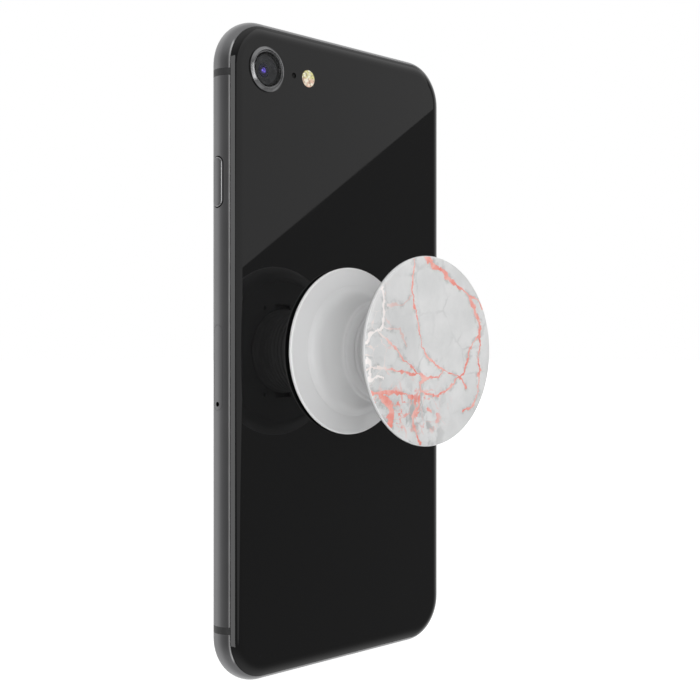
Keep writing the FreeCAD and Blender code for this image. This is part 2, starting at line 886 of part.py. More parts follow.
def display():
    """The plastic bezel frame, LCD panel, backlight and steel back plate of the screen."""
    front = dim.glass_depth
    width, height = cavity_width - 4 * dim.fit_gap, cavity_height - 4 * dim.fit_gap
    radius = cavity_radius - 2 * dim.fit_gap
    rim = plate("bezel_plate", width, height, dim.bezel_depth, (0, front, 0), radius=radius)
    inner = plate(
        "bezel_hole",
        width - 2 * dim.bezel_wall,
        height - 2 * dim.bezel_wall,
        dim.phone_depth,
        radius=radius - dim.bezel_wall,
    )
    keep("display_frame", cut("display_frame", rim, inner))
    keep("lcd_panel", plate("lcd_panel", dim.panel_width, dim.panel_height, dim.panel_depth, (0, front, 0)))
    back = front + dim.panel_depth
    keep(
        "backlight_unit",
        plate("backlight_unit", dim.panel_width, dim.panel_height, dim.backlight_depth, (0, back, 0)),
    )
    shield_y = back + dim.backlight_depth
    shield = plate(
        "display_shield",
        dim.panel_width,
        dim.panel_height,
        dim.shield_depth,
        (0, shield_y, 0),
        radius=size(1.5),
    )
    keep("display_shield", shield)


def home_button():
    """The fixed touch-sensitive home button: a steel ring, a sapphire cover and the fingerprint sensor."""
    ring_front = dim.fit_gap / 2
    ring = turned(
        "home_button_ring",
        [
            (dim.home_ring_inner / 2, ring_front + 0.15),
            (dim.home_ring_inner / 2 + 0.12, ring_front),
            (dim.home_ring_outer / 2, ring_front),
            (dim.home_ring_outer / 2, dim.home_ring_depth),
            (dim.home_ring_inner / 2, dim.home_ring_depth),
        ],
        (0, 0, dim.home_z),
    )
    keep("home_button_ring", ring)
    cover_at = (0, dim.home_cover_sink, dim.home_z)
    cover = disc("home_button_cover", dim.home_ring_inner, dim.home_cover_depth, cover_at)
    keep("home_button_cover", cover)
    sensor_at = (0, dim.home_cover_sink + dim.home_cover_depth, dim.home_z)
    keep(
        "fingerprint_sensor",
        plate("fingerprint_sensor", dim.sensor_side, dim.sensor_side, dim.sensor_depth, sensor_at),
    )


def earpiece_and_front_camera():
    """The earpiece mesh and receiver, and the front camera behind the glass."""
    mesh_width = dim.earpiece_width
    at = (0, dim.earpiece_mesh_sink, dim.earpiece_z)
    mesh = slot_bar("earpiece_mesh", dim.earpiece_length, mesh_width, dim.earpiece_mesh_depth, at, "y", False)
    keep("earpiece_mesh", mesh)
    receiver_at = (0, dim.glass_depth, dim.earpiece_z)
    receiver = plate(
        "earpiece_receiver",
        dim.receiver_width,
        dim.receiver_height,
        dim.receiver_depth,
        receiver_at,
        radius=size(1.0),
    )
    keep("earpiece_receiver", receiver)
    x, z = dim.front_camera_x, dim.earpiece_z
    side = dim.front_camera_side
    body = plate(
        "front_camera_body",
        side,
        side,
        dim.front_camera_depth,
        (x, dim.glass_depth + 0.2, z),
        radius=size(0.5),
    )
    snout = disc("front_camera_snout", dim.front_lens_diameter - 0.2, size(0.4), (x, dim.glass_depth, z))
    keep("front_camera", joined("front_camera", body, snout))


def battery():
    """The battery pouch and the stretch-release strips that hold it."""
    at = (dim.battery_x, dim.battery_front, dim.battery_z)
    pouch = plate(
        "battery", dim.battery_width, dim.battery_height, dim.battery_depth, at, radius=size(1.6)
    )
    depth = DIMENSIONS["battery_depth"]

    def on_a_face(edge):
        ys = [v.Point.y for v in edge.Vertexes]
        return max(ys) - min(ys) < 0.01 and min(abs(ys[0]), abs(ys[0] - depth)) < 0.01

    keep("battery", round_edges(pouch, dim.battery_round, on_a_face))
    strips = []
    strip_y = dim.battery_front + dim.battery_depth
    for i in range(STRIPS):
        x = dim.battery_x + (i - 1) * dim.strip_pitch
        height = dim.battery_height - 8
        strips.append(plate("strip", dim.strip_width, height, dim.strip_depth, (x, strip_y, dim.battery_z)))
    keep("battery_adhesive_strips", group("battery_adhesive_strips", *strips))


def shield_can(name, low_z, high_z):
    """A thin steel cover over part of the logic board, open at the back."""
    front = dim.board_front - dim.can_depth
    shell = box(name + "_shell", (dim.can_left, front, low_z), (dim.can_right, dim.board_front, high_z))
    wall = dim.can_wall
    inside_low = (dim.can_left + wall, front + wall, low_z + wall)
    inside = box(name + "_inside", inside_low, (dim.can_right - wall, dim.board_front, high_z - wall))
    return cut(name, shell, inside)


def logic_board():
    """The L-shaped logic board and its two shield cans."""
    outline = [
        (dim.board_left, dim.board_bottom),
        (dim.board_right, dim.board_bottom),
        (dim.board_right, dim.board_top),
        (dim.board_arm_left, dim.board_top),
        (dim.board_arm_left, dim.board_arm_bottom),
        (dim.board_left, dim.board_arm_bottom),
    ]
    board = extrude(
        "logic_board", dim.board_depth, lambda s: draw_polygon(s, outline), (0, dim.board_front, 0)
    )
    keep("logic_board", board)
    upper = shield_can("upper_can", dim.upper_can_bottom, dim.upper_can_top)
    lower = shield_can("lower_can", dim.lower_can_bottom, dim.lower_can_top)
    keep("board_shields", group("board_shields", upper, lower))


def curved_to_frame(name, bar, side, proud):
    """A bar that ends in the frame's own rounded side, standing proud of it by a little."""
    radius = dim.edge_radius + proud
    centre_x = side * (half_width - dim.edge_radius)
    surface = rod(name + "_surface", radius * 2, dim.phone_height, (centre_x, middle_y, floor_z), "z")
    core = box(
        name + "_core",
        (-half_width + dim.edge_radius, 0, floor_z),
        (half_width - dim.edge_radius, dim.phone_depth, half_height),
    )
    return overlap(name, bar, joined(name + "_limit", surface, core))


def sim_tray():
    """The SIM tray with its seal and card, which slide out together."""
    plate_low = half_width - dim.tray_plate_depth
    bar = slot_bar(
        "tray_plate_bar",
        dim.tray_plate_length,
        dim.tray_plate_width,
        2,
        (plate_low, middle_y, dim.tray_plate_z),
        "x",
    )
    face = curved_to_frame("tray_face", bar, 1, 0)
    half_z, half_y = dim.tray_width / 2, dim.tray_depth / 2
    z = dim.tray_z
    deck = box(
        "tray_deck",
        (dim.tray_tail, middle_y - half_y, z - half_z),
        (plate_low, middle_y + half_y, z + half_z),
    )
    card_low_x = dim.card_outer - dim.card_length
    card_y = middle_y + half_y - dim.card_depth
    card_half = dim.card_width / 2
    gap = dim.fit_gap / 2
    room = box(
        "card_room",
        (card_low_x - gap, card_y, z - card_half - gap),
        (dim.card_outer + gap, dim.phone_depth, z + card_half + gap),
    )
    window = box(
        "card_window",
        (card_low_x + 1, 0, z - card_half + 1),
        (dim.card_outer - 1, dim.phone_depth, z + card_half - 1),
    )
    hole = rod(
        "eject_hole", dim.eject_diameter, dim.rail_wall + 1, (plate_low - 1, middle_y, dim.eject_z), "x"
    )
    keep("sim_tray", cut("sim_tray", joined("tray_blank", face, deck), room, window, hole))
    notch = 1.4
    outline = [
        (card_low_x, z - card_half),
        (dim.card_outer, z - card_half),
        (dim.card_outer, z + card_half),
        (card_low_x + notch, z + card_half),
        (card_low_x, z + card_half - notch),
    ]
    card = extrude("sim_card", dim.card_depth, lambda s: draw_polygon(s, outline), (0, card_y, 0))
    keep("sim_card", card)
    seal_low = plate_low - dim.tray_seal_depth
    ring = slot_bar(
        "tray_seal_bar",
        dim.tray_plate_length - 2 * dim.fit_gap,
        dim.tray_plate_width - 2 * dim.fit_gap,
        dim.tray_seal_depth,
        (seal_low, middle_y, dim.tray_plate_z),
        "x",
    )
    neck = box(
        "tray_neck", (seal_low - 1, middle_y - half_y, z - half_z), (plate_low, middle_y + half_y, z + half_z)
    )
    keep("sim_tray_seal", cut("sim_tray_seal", ring, neck, hole))


def sim_reader():
    """The card reader's shell with its pivot ear, and the rod and lever that push the tray out."""
    half_z = dim.tray_width / 2 + dim.reader_gap
    half_y = dim.tray_depth / 2 + dim.reader_gap
    wall = dim.reader_wall
    z = dim.tray_z
    shell = box(
        "reader_shell",
        (dim.reader_inner, dim.reader_front, z - half_z - wall),
        (dim.reader_outer, dim.board_front, z + half_z + wall),
    )
    tunnel = box(
        "reader_tunnel",
        (dim.reader_inner - 1, middle_y - half_y, z - half_z),
        (dim.reader_outer + 1, middle_y + half_y, z + half_z),
    )
    ear = dim.pivot_ear
    ear_y = dim.board_front - 0.35
    pivot_x = dim.lever_x
    ear_plate = box(
        "pivot_plate",
        (pivot_x - ear, ear_y, dim.pivot_z - ear),
        (dim.reader_inner, dim.board_front, dim.pivot_z + ear),
    )
    ear_arm = box(
        "pivot_arm",
        (dim.reader_inner, ear_y, dim.pivot_z - ear),
        (dim.reader_inner + 2, dim.board_front, z - half_z),
    )
    pin_front = middle_y - dim.rod_side / 2 - 0.2
    pin = rod(
        "pivot_pin", dim.pivot_radius * 2, ear_y - pin_front + 0.1, (pivot_x, pin_front, dim.pivot_z), "y"
    )
    hollow = cut("reader_hollow", shell, tunnel)
    keep("sim_reader", joined("sim_reader", hollow, ear_plate, ear_arm, pin))
    half = dim.rod_side / 2
    rod_inner = pivot_x + dim.lever_width / 2 + dim.fit_gap
    push = box(
        "sim_eject_rod",
        (rod_inner, middle_y - half, dim.eject_z - half),
        (dim.rod_outer, middle_y + half, dim.eject_z + half),
    )
    keep("sim_eject_rod", push)
    length = dim.lever_top - dim.lever_bottom
    centre_z = (dim.lever_top + dim.lever_bottom) / 2
    lever = slot_bar(
        "lever_bar", length, dim.lever_width, dim.rod_side, (pivot_x, middle_y - half, centre_z), "y"
    )
    bore = (dim.pivot_radius + dim.pivot_clearance) * 2
    hole = rod("lever_hole", bore, dim.phone_depth, (pivot_x, 0, dim.pivot_z), "y")
    keep("sim_eject_lever", cut("sim_eject_lever", lever, hole))


def push_button(name, side, z, length):
    """A button cap in a side rail, with a flange behind the rail that keeps it in."""
    reach = dim.rail_wall + 2 * dim.fit_gap + dim.button_proud
    cap_start = inner_wall - 2 * dim.fit_gap
    start = cap_start if side > 0 else -cap_start - reach
    bar = slot_bar(name + "_bar", length, dim.button_width, reach, (start, middle_y, z), "x")
    cap = curved_to_frame(name + "_cap", bar, side, dim.button_proud)
    extra = dim.button_flange_extra
    depth = dim.button_flange_depth
    low = inner_wall - dim.fit_gap - depth
    flange_start = low if side > 0 else -low - depth
    flange = slot_bar(
        name + "_flange", length + extra, dim.button_width + extra, depth, (flange_start, middle_y, z), "x"
    )
    keep(name, joined(name, cap, flange))


def switch_block(name, side, z):
    """A dome switch behind a button: a block with a low round dome."""
    low = dim.switch_face - dim.switch_depth
    half_z, half_y = dim.switch_height / 2, dim.switch_width / 2
    dome = size(0.25)
    ends = (low, dim.switch_face - dome)
    xs = ends if side > 0 else (-ends[1], -ends[0])
    block = box(
        name + "_block", (xs[0], middle_y - half_y, z - half_z), (xs[1], middle_y + half_y, z + half_z)
    )
    start = ends[1] if side > 0 else -dim.switch_face
    button = disc(name + "_dome", size(1.8), dome, (start, middle_y, z), "x")
    return joined(name, block, button)


def buttons():
    """The side and volume buttons, their switches, and the mute switch."""
    push_button("side_button", 1, dim.side_button_z, dim.side_button_length)
    push_button("volume_up_button", -1, dim.volume_up_z, dim.volume_button_length)
    push_button("volume_down_button", -1, dim.volume_down_z, dim.volume_button_length)
    switches = [
        switch_block("side_switch", 1, dim.side_button_z),
        switch_block("volume_up_switch", -1, dim.volume_up_z),
        switch_block("volume_down_switch", -1, dim.volume_down_z),
    ]
    keep("button_switches", group("button_switches", *switches))


def mute_switch():
    """The mute lever, which slides from front to back in its slot, and the coloured base it uncovers."""
    y = middle_y - dim.mute_offset
    reach = dim.rail_wall + dim.fit_gap
    bar = slot_bar(
        "mute_bar", dim.mute_lever_length, dim.mute_lever_width, reach, (-half_width, y, dim.mute_z), "x"
    )
    cap = curved_to_frame("mute_cap", bar, -1, 0)
    depth = dim.mute_shoe_depth
    shoe_x = -inner_wall + dim.fit_gap
    shoe = slot_bar(
        "mute_shoe", dim.mute_shoe_length, dim.mute_shoe_width, depth, (shoe_x, y, dim.mute_z), "x"
    )
    keep("mute_lever", joined("mute_lever", cap, shoe))
    base_x = shoe_x + depth + dim.fit_gap
    at = (base_x, middle_y + dim.mute_base_shift, dim.mute_z)
    base = plate("mute_base", dim.mute_base_width, dim.mute_shoe_length, dim.mute_base_depth, at, "x")
    keep("mute_base", base)


def charging_port():
    """The charging socket inside the bottom edge, and its row of contacts."""
    wall = dim.port_wall
    low = floor_z + dim.rail_wall
    shell = slot_bar(
        "port_shell",
        dim.port_width + 2 * wall,
        dim.port_height + 2 * wall,
        dim.port_depth,
        (0, middle_y, low),
        "z",
        False,
    )
    inside = slot_bar(
        "port_inside", dim.port_width, dim.port_height, dim.port_depth - wall, (0, middle_y, low), "z", False
    )
    keep("charging_port", cut("charging_port", shell, inside))
    pins = []
    width, depth = dim.contact_count_width, dim.contact_depth
    back = middle_y + dim.port_height / 2
    top = low + dim.port_depth - wall
    for i in range(CONTACTS):
        x = (i - (CONTACTS - 1) / 2) * dim.contact_pitch - width / 2
        pins.append(box("contact", (x, back - depth, top - dim.contact_length), (x + width, back, top)))
    keep("charging_port_contacts", group("charging_port_contacts", *pins))


def bottom_screw(x):
    """One five-lobed screw, pointing up through the bottom edge."""
    head, shank = dim.screw_head_diameter / 2, (dim.screw_shank_diameter - dim.fit_gap) / 2
    body = turned(
        "bottom_screw",
        [
            (0, 0),
            (head, 0),
            (head, dim.screw_head_depth),
            (shank, dim.screw_head_depth),
            (shank, dim.screw_length),
            (0, dim.screw_length),
        ],
        axis="z",
    )
    tools = [rod("recess", dim.screw_lobe_ring * 2, dim.screw_recess_depth, (0, 0, 0), "z")]
    for i in range(SCREW_LOBES):
        turn = FreeCAD.Rotation(Vector(0, 0, 1), i * FULL_TURN / SCREW_LOBES)
        spot = turn.multVec(Vector(1, 0, 0))
        tools.append(
            rod(
                "lobe",
                dim.screw_lobe_diameter,
                dim.screw_recess_depth,
                (dim.screw_lobe_ring * spot.x, dim.screw_lobe_ring * spot.y, 0),
                "z",
            )
        )
    screw = cut("screw", body, *tools)
    return place(screw, x, middle_y, floor_z + dim.screw_sink)


def bottom_edge():
    """The screws, the meshes behind the sound holes and the loudspeaker."""
    screws = [bottom_screw(side * dim.screw_x) for side in SIDES.values()]
    keep("bottom_screws", group("bottom_screws", *screws))
    meshes = []
    low = floor_z + dim.rail_wall
    centre_x = dim.hole_first_x + (SPEAKER_HOLES - 1) / 2 * dim.hole_pitch
    for side in SIDES.values():
        at = (side * centre_x, middle_y, low)
        meshes.append(plate("sound_mesh", dim.mesh_width, dim.mesh_height, dim.mesh_depth, at, "z"))
    keep("sound_meshes", group("sound_meshes", *meshes))
    width = dim.speaker_right - dim.speaker_left
    height = dim.speaker_top - dim.speaker_bottom
    at = (
        (dim.speaker_left + dim.speaker_right) / 2,
        dim.module_front,
        (dim.speaker_top + dim.speaker_bottom) / 2,
    )
    keep("loudspeaker", plate("loudspeaker", width, height, dim.module_depth, at, radius=dim.speaker_corner))


def spring_leaf(name, side):
    """A folded leaf spring between the motor's end wall and its weight."""
    wall_x = dim.motor_width / 2 - dim.motor_wall
    weight_x = dim.weight_width / 2
    half = dim.spring_height / 2
    leaf = dim.spring_leaf
    outline = [
        (side * wall_x, -half),
        (side * wall_x, -half + leaf),
        (side * (weight_x + leaf), half - leaf),
        (side * (weight_x + leaf), half),
        (side * weight_x, half),
        (side * weight_x, half - 2 * leaf),
        (side * (wall_x - leaf), -half),
    ]
    y = middle_y + 0.4 - dim.weight_depth / 2
    return extrude(name, dim.weight_depth, lambda s: draw_polygon(s, outline), (dim.motor_x, y, dim.motor_z))


def haptic_motor():
    """The linear vibration motor: a case, a sliding weight and two springs."""
    x, z = dim.motor_x, dim.motor_z
    case = plate(
        "motor_case",
        dim.motor_width,
        dim.motor_height,
        dim.module_depth,
        (x, dim.module_front, z),
        radius=size(0.8),
    )
    wall = dim.motor_wall
    room = box(
        "motor_room",
        (x - dim.motor_width / 2 + wall, dim.module_front + wall, z - dim.motor_height / 2 + wall),
        (
            x + dim.motor_width / 2 - wall,
            dim.module_front + dim.module_depth - wall,
            z + dim.motor_height / 2 - wall,
        ),
    )
    keep("haptic_case", cut("haptic_case", case, room))
    y = middle_y + 0.4 - dim.weight_depth / 2
    weight = plate(
        "haptic_weight", dim.weight_width, dim.weight_height, dim.weight_depth, (x, y, z), radius=size(0.5)
    )
    keep("haptic_weight", weight)
    keep(
        "haptic_springs",
        group("haptic_springs", spring_leaf("spring_left", -1), spring_leaf("spring_right", 1)),
    )


def grip_base():
    """The gel pad on the rear glass and the round base of the grip."""
    at = (dim.grip_x, dim.phone_depth, 0)
    keep("grip_adhesive_pad", disc("grip_adhesive_pad", dim.pad_radius * 2, dim.pad_depth, at))
    edge = dim.base_edge
    base = turned(
        "grip_base",
        [
            (0, dim.pad_depth),
            (dim.base_radius, dim.pad_depth),
            (dim.base_radius, dim.base_rim_top),
            (dim.base_radius - edge, dim.base_rim_top + edge),
            (dim.foot_radius, dim.base_top),
            (0, dim.base_top),
        ],
        at,
    )
    keep("grip_base", base)


def grip_bellows():
    """The folding neck between the base and the hub: one thin-walled moulding of two stages."""
    wall = dim.bellows_wall
    outer = [
        (dim.foot_radius, dim.base_top),
        ((dim.foot_radius + dim.skirt_radius) / 2, (dim.base_top * 2 + dim.skirt_top) / 3),
        (dim.skirt_radius, dim.skirt_top),
        (dim.fold_radius, dim.fold_top),
        (dim.neck_low_radius, dim.neck_low),
        (dim.neck_high_radius, dim.neck_high),
        (dim.flange_radius, dim.bellows_top),
    ]
    inner = [(radius - wall, height) for radius, height in reversed(outer)]
    bellows = turned("grip_bellows", outer + inner, (dim.grip_x, dim.phone_depth, 0))
    keep("grip_bellows", bellows)


def grip_top():
    """The hub with its bayonet lugs, and the swappable top that turns and locks on it."""
    at = (dim.grip_x, dim.phone_depth, 0)
    lift = dim.phone_depth
    hub = turned(
        "hub_disc",
        [
            (0, dim.bellows_top + 1),
            (dim.hub_radius - 2, dim.bellows_top + 1),
            (dim.hub_radius - 2, dim.bellows_top),
            (dim.hub_radius, dim.bellows_top),
            (dim.hub_radius, dim.hub_top),
            (0, dim.hub_top),
        ],
        at,
    )
    reach = dim.hub_radius + dim.lug_reach
    half = dim.lug_width / 2
    lugs = box(
        "lug_bar",
        (dim.grip_x - reach, lift + dim.lug_low, -half),
        (dim.grip_x + reach, lift + dim.lug_high, half),
    )
    lug_limit = disc("lug_limit", (reach - 0.1) * 2, dim.phone_depth * 4, (dim.grip_x, lift, 0))
    keep("grip_hub", joined("grip_hub", hub, overlap("lugs", lugs, lug_limit)))
    shell = turned(
        "grip_top_shell",
        [
            (0, dim.socket_roof),
            (dim.socket_radius, dim.socket_roof),
            (dim.socket_radius, dim.plate_low + dim.plate_depth),
            (dim.rim_inner, dim.plate_low + dim.plate_depth),
            (dim.rim_inner, dim.rim_low),
            (dim.rim_foot, dim.rim_low),
            (dim.top_radius, dim.rim_edge_low),
            (dim.top_radius, dim.top_face - dim.rim_round),
            (dim.top_radius - dim.rim_round, dim.top_face),
            (0, dim.top_face),
        ],
        at,
    )
    keep("grip_top_shell", shell)
    keeper = disc(
        "keeper_disc",
        dim.rim_inner * 2,
        dim.plate_depth,
        (dim.grip_x, lift + dim.plate_low, 0),
        bore=(dim.hub_radius + 0.2) * 2,
    )
    notch = box(
        "bayonet_notch",
        (dim.grip_x - half - 0.3, lift, -reach - 0.3),
        (dim.grip_x + half + 0.3, lift * 5, reach + 0.3),
    )
    holes = []
    for across in SIDES.values():
        for up in SIDES.values():
            spot = (dim.grip_x + across * dim.plate_hole_x, lift, up * dim.plate_hole_z)
            holes.append(rod("keeper_hole", dim.plate_hole_diameter, dim.phone_depth * 4, spot, "y"))
    keep("grip_bayonet_plate", cut("grip_bayonet_plate", keeper, notch, *holes))
    face_at = (dim.grip_x, lift + dim.top_face, 0)
    keep("grip_print_disc", disc("grip_print_disc", dim.print_radius * 2, dim.print_depth, face_at))


def check():
    """Stops if any object failed, or any sub-part isn't one or more valid closed solids."""
    doc.recompute()
    bad = [o.Label for o in doc.Objects if {"Invalid", "Error"} & set(o.State)]
    for piece in pieces:
        shape = piece.Shape
        if shape.isNull() or not shape.isValid() or not shape.Solids:
            bad.append(piece.Label)
    if bad:
        raise RuntimeError(f"these objects failed: {bad}")


def write_parts():
    """Writes each sub-part to a STEP file of its own."""
    os.makedirs("parts", exist_ok=True)
    for piece in pieces:
        piece.Shape.exportStep(os.path.join("parts", piece.Label + ".step"))
    print(f"{len(pieces)} sub-parts written")


fill_sheet()
outline = casing_outline()
frame(outline)
seal("display_seal", dim.glass_depth)
seal("rear_glass_adhesive", frame_rear)
rear_cover(outline)
rear_camera()
flash()
rear_microphone()
charging_coil()
cover_glass(outline)
display()
home_button()
earpiece_and_front_camera()
battery()
logic_board()
sim_tray()
sim_reader()
buttons()
mute_switch()
charging_port()
bottom_edge()
haptic_motor()
grip_base()
grip_bellows()
grip_top()
check()
write_parts()
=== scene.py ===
import math

import bmesh
import bpy
from mathutils import Matrix, Vector


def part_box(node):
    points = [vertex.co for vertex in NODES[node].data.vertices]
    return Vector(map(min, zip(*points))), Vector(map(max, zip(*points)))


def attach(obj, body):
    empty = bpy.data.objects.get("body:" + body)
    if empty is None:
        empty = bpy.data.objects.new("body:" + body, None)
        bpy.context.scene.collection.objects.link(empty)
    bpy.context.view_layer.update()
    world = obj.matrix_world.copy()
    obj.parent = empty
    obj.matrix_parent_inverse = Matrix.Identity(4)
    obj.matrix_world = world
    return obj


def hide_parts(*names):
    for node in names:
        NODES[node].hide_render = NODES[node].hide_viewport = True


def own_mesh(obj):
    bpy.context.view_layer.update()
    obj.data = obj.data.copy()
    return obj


# The looks of a smartphone with a collapsible disc grip on its back. Everything is in metres in the
# CAD frame: origin at the centre of the screen's outer face, +Z up the phone, +Y towards its back.

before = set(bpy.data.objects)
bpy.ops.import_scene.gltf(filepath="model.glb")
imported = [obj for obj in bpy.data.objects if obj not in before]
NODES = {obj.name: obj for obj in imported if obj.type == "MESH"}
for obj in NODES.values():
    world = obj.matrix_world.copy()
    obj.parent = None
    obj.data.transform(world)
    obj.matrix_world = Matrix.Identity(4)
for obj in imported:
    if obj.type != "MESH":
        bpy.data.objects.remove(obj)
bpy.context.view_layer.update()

MM = 0.001


def middle(node):
    """The centre of a CAD node's box."""
    low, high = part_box(node)
    return (low + high) / 2


def width_of(node):
    """A CAD node's size along X."""
    low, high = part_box(node)
    return high.x - low.x


phone_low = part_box("frame_bottom")[0]
phone_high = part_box("frame_top")[1]
BACK_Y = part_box("rear_glass")[1].y
GLASS_DEPTH = BACK_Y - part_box("rear_glass")[0].y
FLOOR_Z = phone_low.z
GRIP_X = middle("grip_base").x
CAMERA_LENS_X, CAMERA_LENS_Z = middle("camera_ring").x, middle("camera_ring").z
CAP_FLANGE = 0.5 * MM
CAP_DEPTH = 2.7 * MM
LEAF = 0.25 * MM
BUTTONS = ("side_button", "volume_up_button", "volume_down_button")
PRINT_RADIUS = width_of("grip_print_disc") / 2


# Materials


class Shader:
    """One material and short ways to add nodes to it."""

    def __init__(self, name, **values):
        self.material = bpy.data.materials.new(name)
        self.material.use_nodes = True
        self.tree = self.material.node_tree
        self.surface = self.tree.nodes["Principled BSDF"]
        for socket, value in values.items():
            self.set(socket, value)
        self.place = self.add("ShaderNodeTexCoord").outputs["Object"]

    def set(self, socket, value):
        """Sets one of the surface's own values, named with underscores for spaces."""
        target = self.surface.inputs[socket.replace("_", " ")]
        target.default_value = (*value, 1.0) if isinstance(value, tuple) else value

    def add(self, kind, **settings):
        node = self.tree.nodes.new(kind)
        for key, value in settings.items():
            setattr(node, key, value)
        return node

    def link(self, source, target):
        self.tree.links.new(source, target)

    def feed(self, node, index, value):
        """Puts a number, a vector or another node's output into an input."""
        if isinstance(value, bpy.types.NodeSocket):
            self.link(value, node.inputs[index])
        else:
            node.inputs[index].default_value = value

    def math(self, operation, a, b=0.0):
        node = self.add("ShaderNodeMath", operation=operation)
        self.feed(node, 0, a)
        self.feed(node, 1, b)
        return node.outputs[0]

    def clamped(self, value):
        """Holds a number between 0 and 1."""
        node = self.add("ShaderNodeClamp")
        self.link(value, node.inputs[0])
        return node.outputs[0]

    def vector(self, operation, a, b=(0, 0, 0)):
        node = self.add("ShaderNodeVectorMath", operation=operation)
        self.feed(node, 0, a)
        self.feed(node, 1, b)
        return node.outputs["Value" if operation in ("DOT_PRODUCT", "DISTANCE", "LENGTH") else "Vector"]

    def scaled(self, vector, amount):
        node = self.add("ShaderNodeVectorMath", operation="SCALE")
        self.feed(node, 0, vector)
        self.feed(node, "Scale", amount)
        return node.outputs[0]

    def split(self, vector):
        node = self.add("ShaderNodeSeparateXYZ")
        self.link(vector, node.inputs[0])
        return node.outputs

    def joined(self, x, y, z):
        node = self.add("ShaderNodeCombineXYZ")
        for index, value in enumerate((x, y, z)):
            self.feed(node, index, value)
        return node.outputs[0]

    def noise(self, size, detail=3.0, rough=0.55, where=None, output="Fac"):
        """Noise with features of about that size in metres."""
        node = self.add("ShaderNodeTexNoise")
        node.inputs["Scale"].default_value = 1 / size
        node.inputs["Detail"].default_value = detail
        node.inputs["Roughness"].default_value = rough
        self.link(where or self.place, node.inputs["Vector"])
        return node.outputs[output]

    def cells(self, size, feature="F1", where=None, output="Distance"):
        """Voronoi cells of about that size in metres."""
        node = self.add("ShaderNodeTexVoronoi", feature=feature)
        node.inputs["Scale"].default_value = 1 / size
        self.link(where or self.place, node.inputs["Vector"])
        return node.outputs[output]

    def span(self, value, low, high, to_low=0.0, to_high=1.0, smooth=True):
        """Maps low..high to to_low..to_high, held at both ends."""
        node = self.add("ShaderNodeMapRange", interpolation_type="SMOOTHSTEP" if smooth else "LINEAR")
        self.feed(node, 0, value)
        for index, number in enumerate((low, high, to_low, to_high), start=1):
            self.feed(node, index, number)
        return node.outputs[0]

    def mix(self, share, a, b):
        """Mixes two colours."""
        node = self.add("ShaderNodeMix", data_type="RGBA")
        self.feed(node, 0, share)
        for index, colour in ((6, a), (7, b)):
            self.feed(node, index, (*colour, 1.0) if isinstance(colour, tuple) else colour)
        return node.outputs[2]

    def colour(self, value):
        self.link(value, self.surface.inputs["Base Color"])
        return self

    def rough(self, value):
        self.link(value, self.surface.inputs["Roughness"])
        return self

    def bump(self, height, depth):
        """Raises the surface by up to depth metres where height is 1."""
        node = self.add("ShaderNodeBump")
        node.inputs["Distance"].default_value = depth
        self.link(height, node.inputs["Height"])
        self.link(node.outputs[0], self.surface.inputs["Normal"])
        return self

    def varied(self, dark, light, size):
        """A base colour that drifts between two colours."""
        return self.colour(self.mix(self.noise(size), dark, light))


def button_gap_shadow(m, node, x, y, z):
    """1 in the narrow clearance round a button's cap, where the metal gets a painted shadow, and 0 away from
    it.
    """
    low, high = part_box(node)
    centre = (low + high) / 2
    radius = (high.y - low.y - CAP_FLANGE) / 2
    straight = (high.z - low.z - CAP_FLANGE) / 2 - radius
    past_end = m.math("SUBTRACT", m.math("ABSOLUTE", m.math("SUBTRACT", z, centre.z)), straight)
    across = m.math("SUBTRACT", y, centre.y)
    reach = m.vector("LENGTH", m.joined(0.0, across, m.math("MAXIMUM", past_end, 0.0)))
    outside = m.span(reach, radius - 0.00001, radius + 0.00002)
    ring = m.math("MULTIPLY", outside, m.span(reach, radius + 0.00020, radius + 0.00024, 1.0, 0.0))
    outward = x if centre.x > 0 else m.math("MULTIPLY", x, -1.0)
    return m.math("MULTIPLY", ring, m.span(outward, abs(centre.x) - 0.002, abs(centre.x) - 0.0015))


def anodised_metal():
    """Dark anodised aluminium, with a painted highlight along both glasses on the long sides and a painted
    shadow round each button.
    """
    m = Shader("anodised_metal", Metallic=1.0)
    x, y, z = m.split(m.place)
    half_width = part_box("frame_middle")[1].x
    glass_joint = BACK_Y / 2 - GLASS_DEPTH
    from_middle = m.math("ABSOLUTE", m.math("SUBTRACT", y, BACK_Y / 2))
    near_glass = m.span(from_middle, glass_joint - 0.00042, glass_joint - 0.00020)
    on_side = m.span(m.math("ABSOLUTE", x), half_width - 0.0026, half_width - 0.0018)
    body = m.mix(m.noise(0.012), (0.205, 0.205, 0.210), (0.235, 0.235, 0.240))
    # painted highlight: the long sides are paler beside both glasses
    body = m.mix(m.math("MULTIPLY", near_glass, on_side), body, (0.72, 0.72, 0.72))
    # painted shadow: a near-black band in the clearance round each button's cap
    for node in BUTTONS:
        body = m.mix(button_gap_shadow(m, node, x, y, z), body, (0.006, 0.006, 0.006))
    m.colour(body)
    m.rough(m.span(m.noise(0.005, 3), 0.3, 0.7, 0.29, 0.33))
    return m.bump(m.noise(0.00012, 2), 0.0000012)


def polished_chamfer():
    """The cut and polished edge of a button's cap."""
    m = Shader("polished_chamfer", Metallic=1.0)
    m.varied((0.28, 0.28, 0.285), (0.34, 0.34, 0.345), 0.004)
    m.rough(m.span(m.noise(0.0006, 3), 0.3, 0.7, 0.12, 0.18))
    return m


def antenna_plastic():
    """Smooth plastic of the antenna bands."""
    m = Shader("antenna_plastic")
    m.varied((0.03, 0.03, 0.031), (0.036, 0.036, 0.037), 0.003)
    m.rough(m.span(m.noise(0.0009), 0.3, 0.7, 0.34, 0.42))
    return m.bump(m.noise(0.0002, 2), 0.000002)


def black_glass():
    """Glass with a black layer behind it, with the faintest polish marks."""
    m = Shader("black_glass", IOR=1.5)
    m.varied((0.0035, 0.0035, 0.0037), (0.0045, 0.0045, 0.0047), 0.03)
    m.rough(m.span(m.noise(0.02, 5, 0.7), 0.35, 0.75, 0.012, 0.035))
    return m


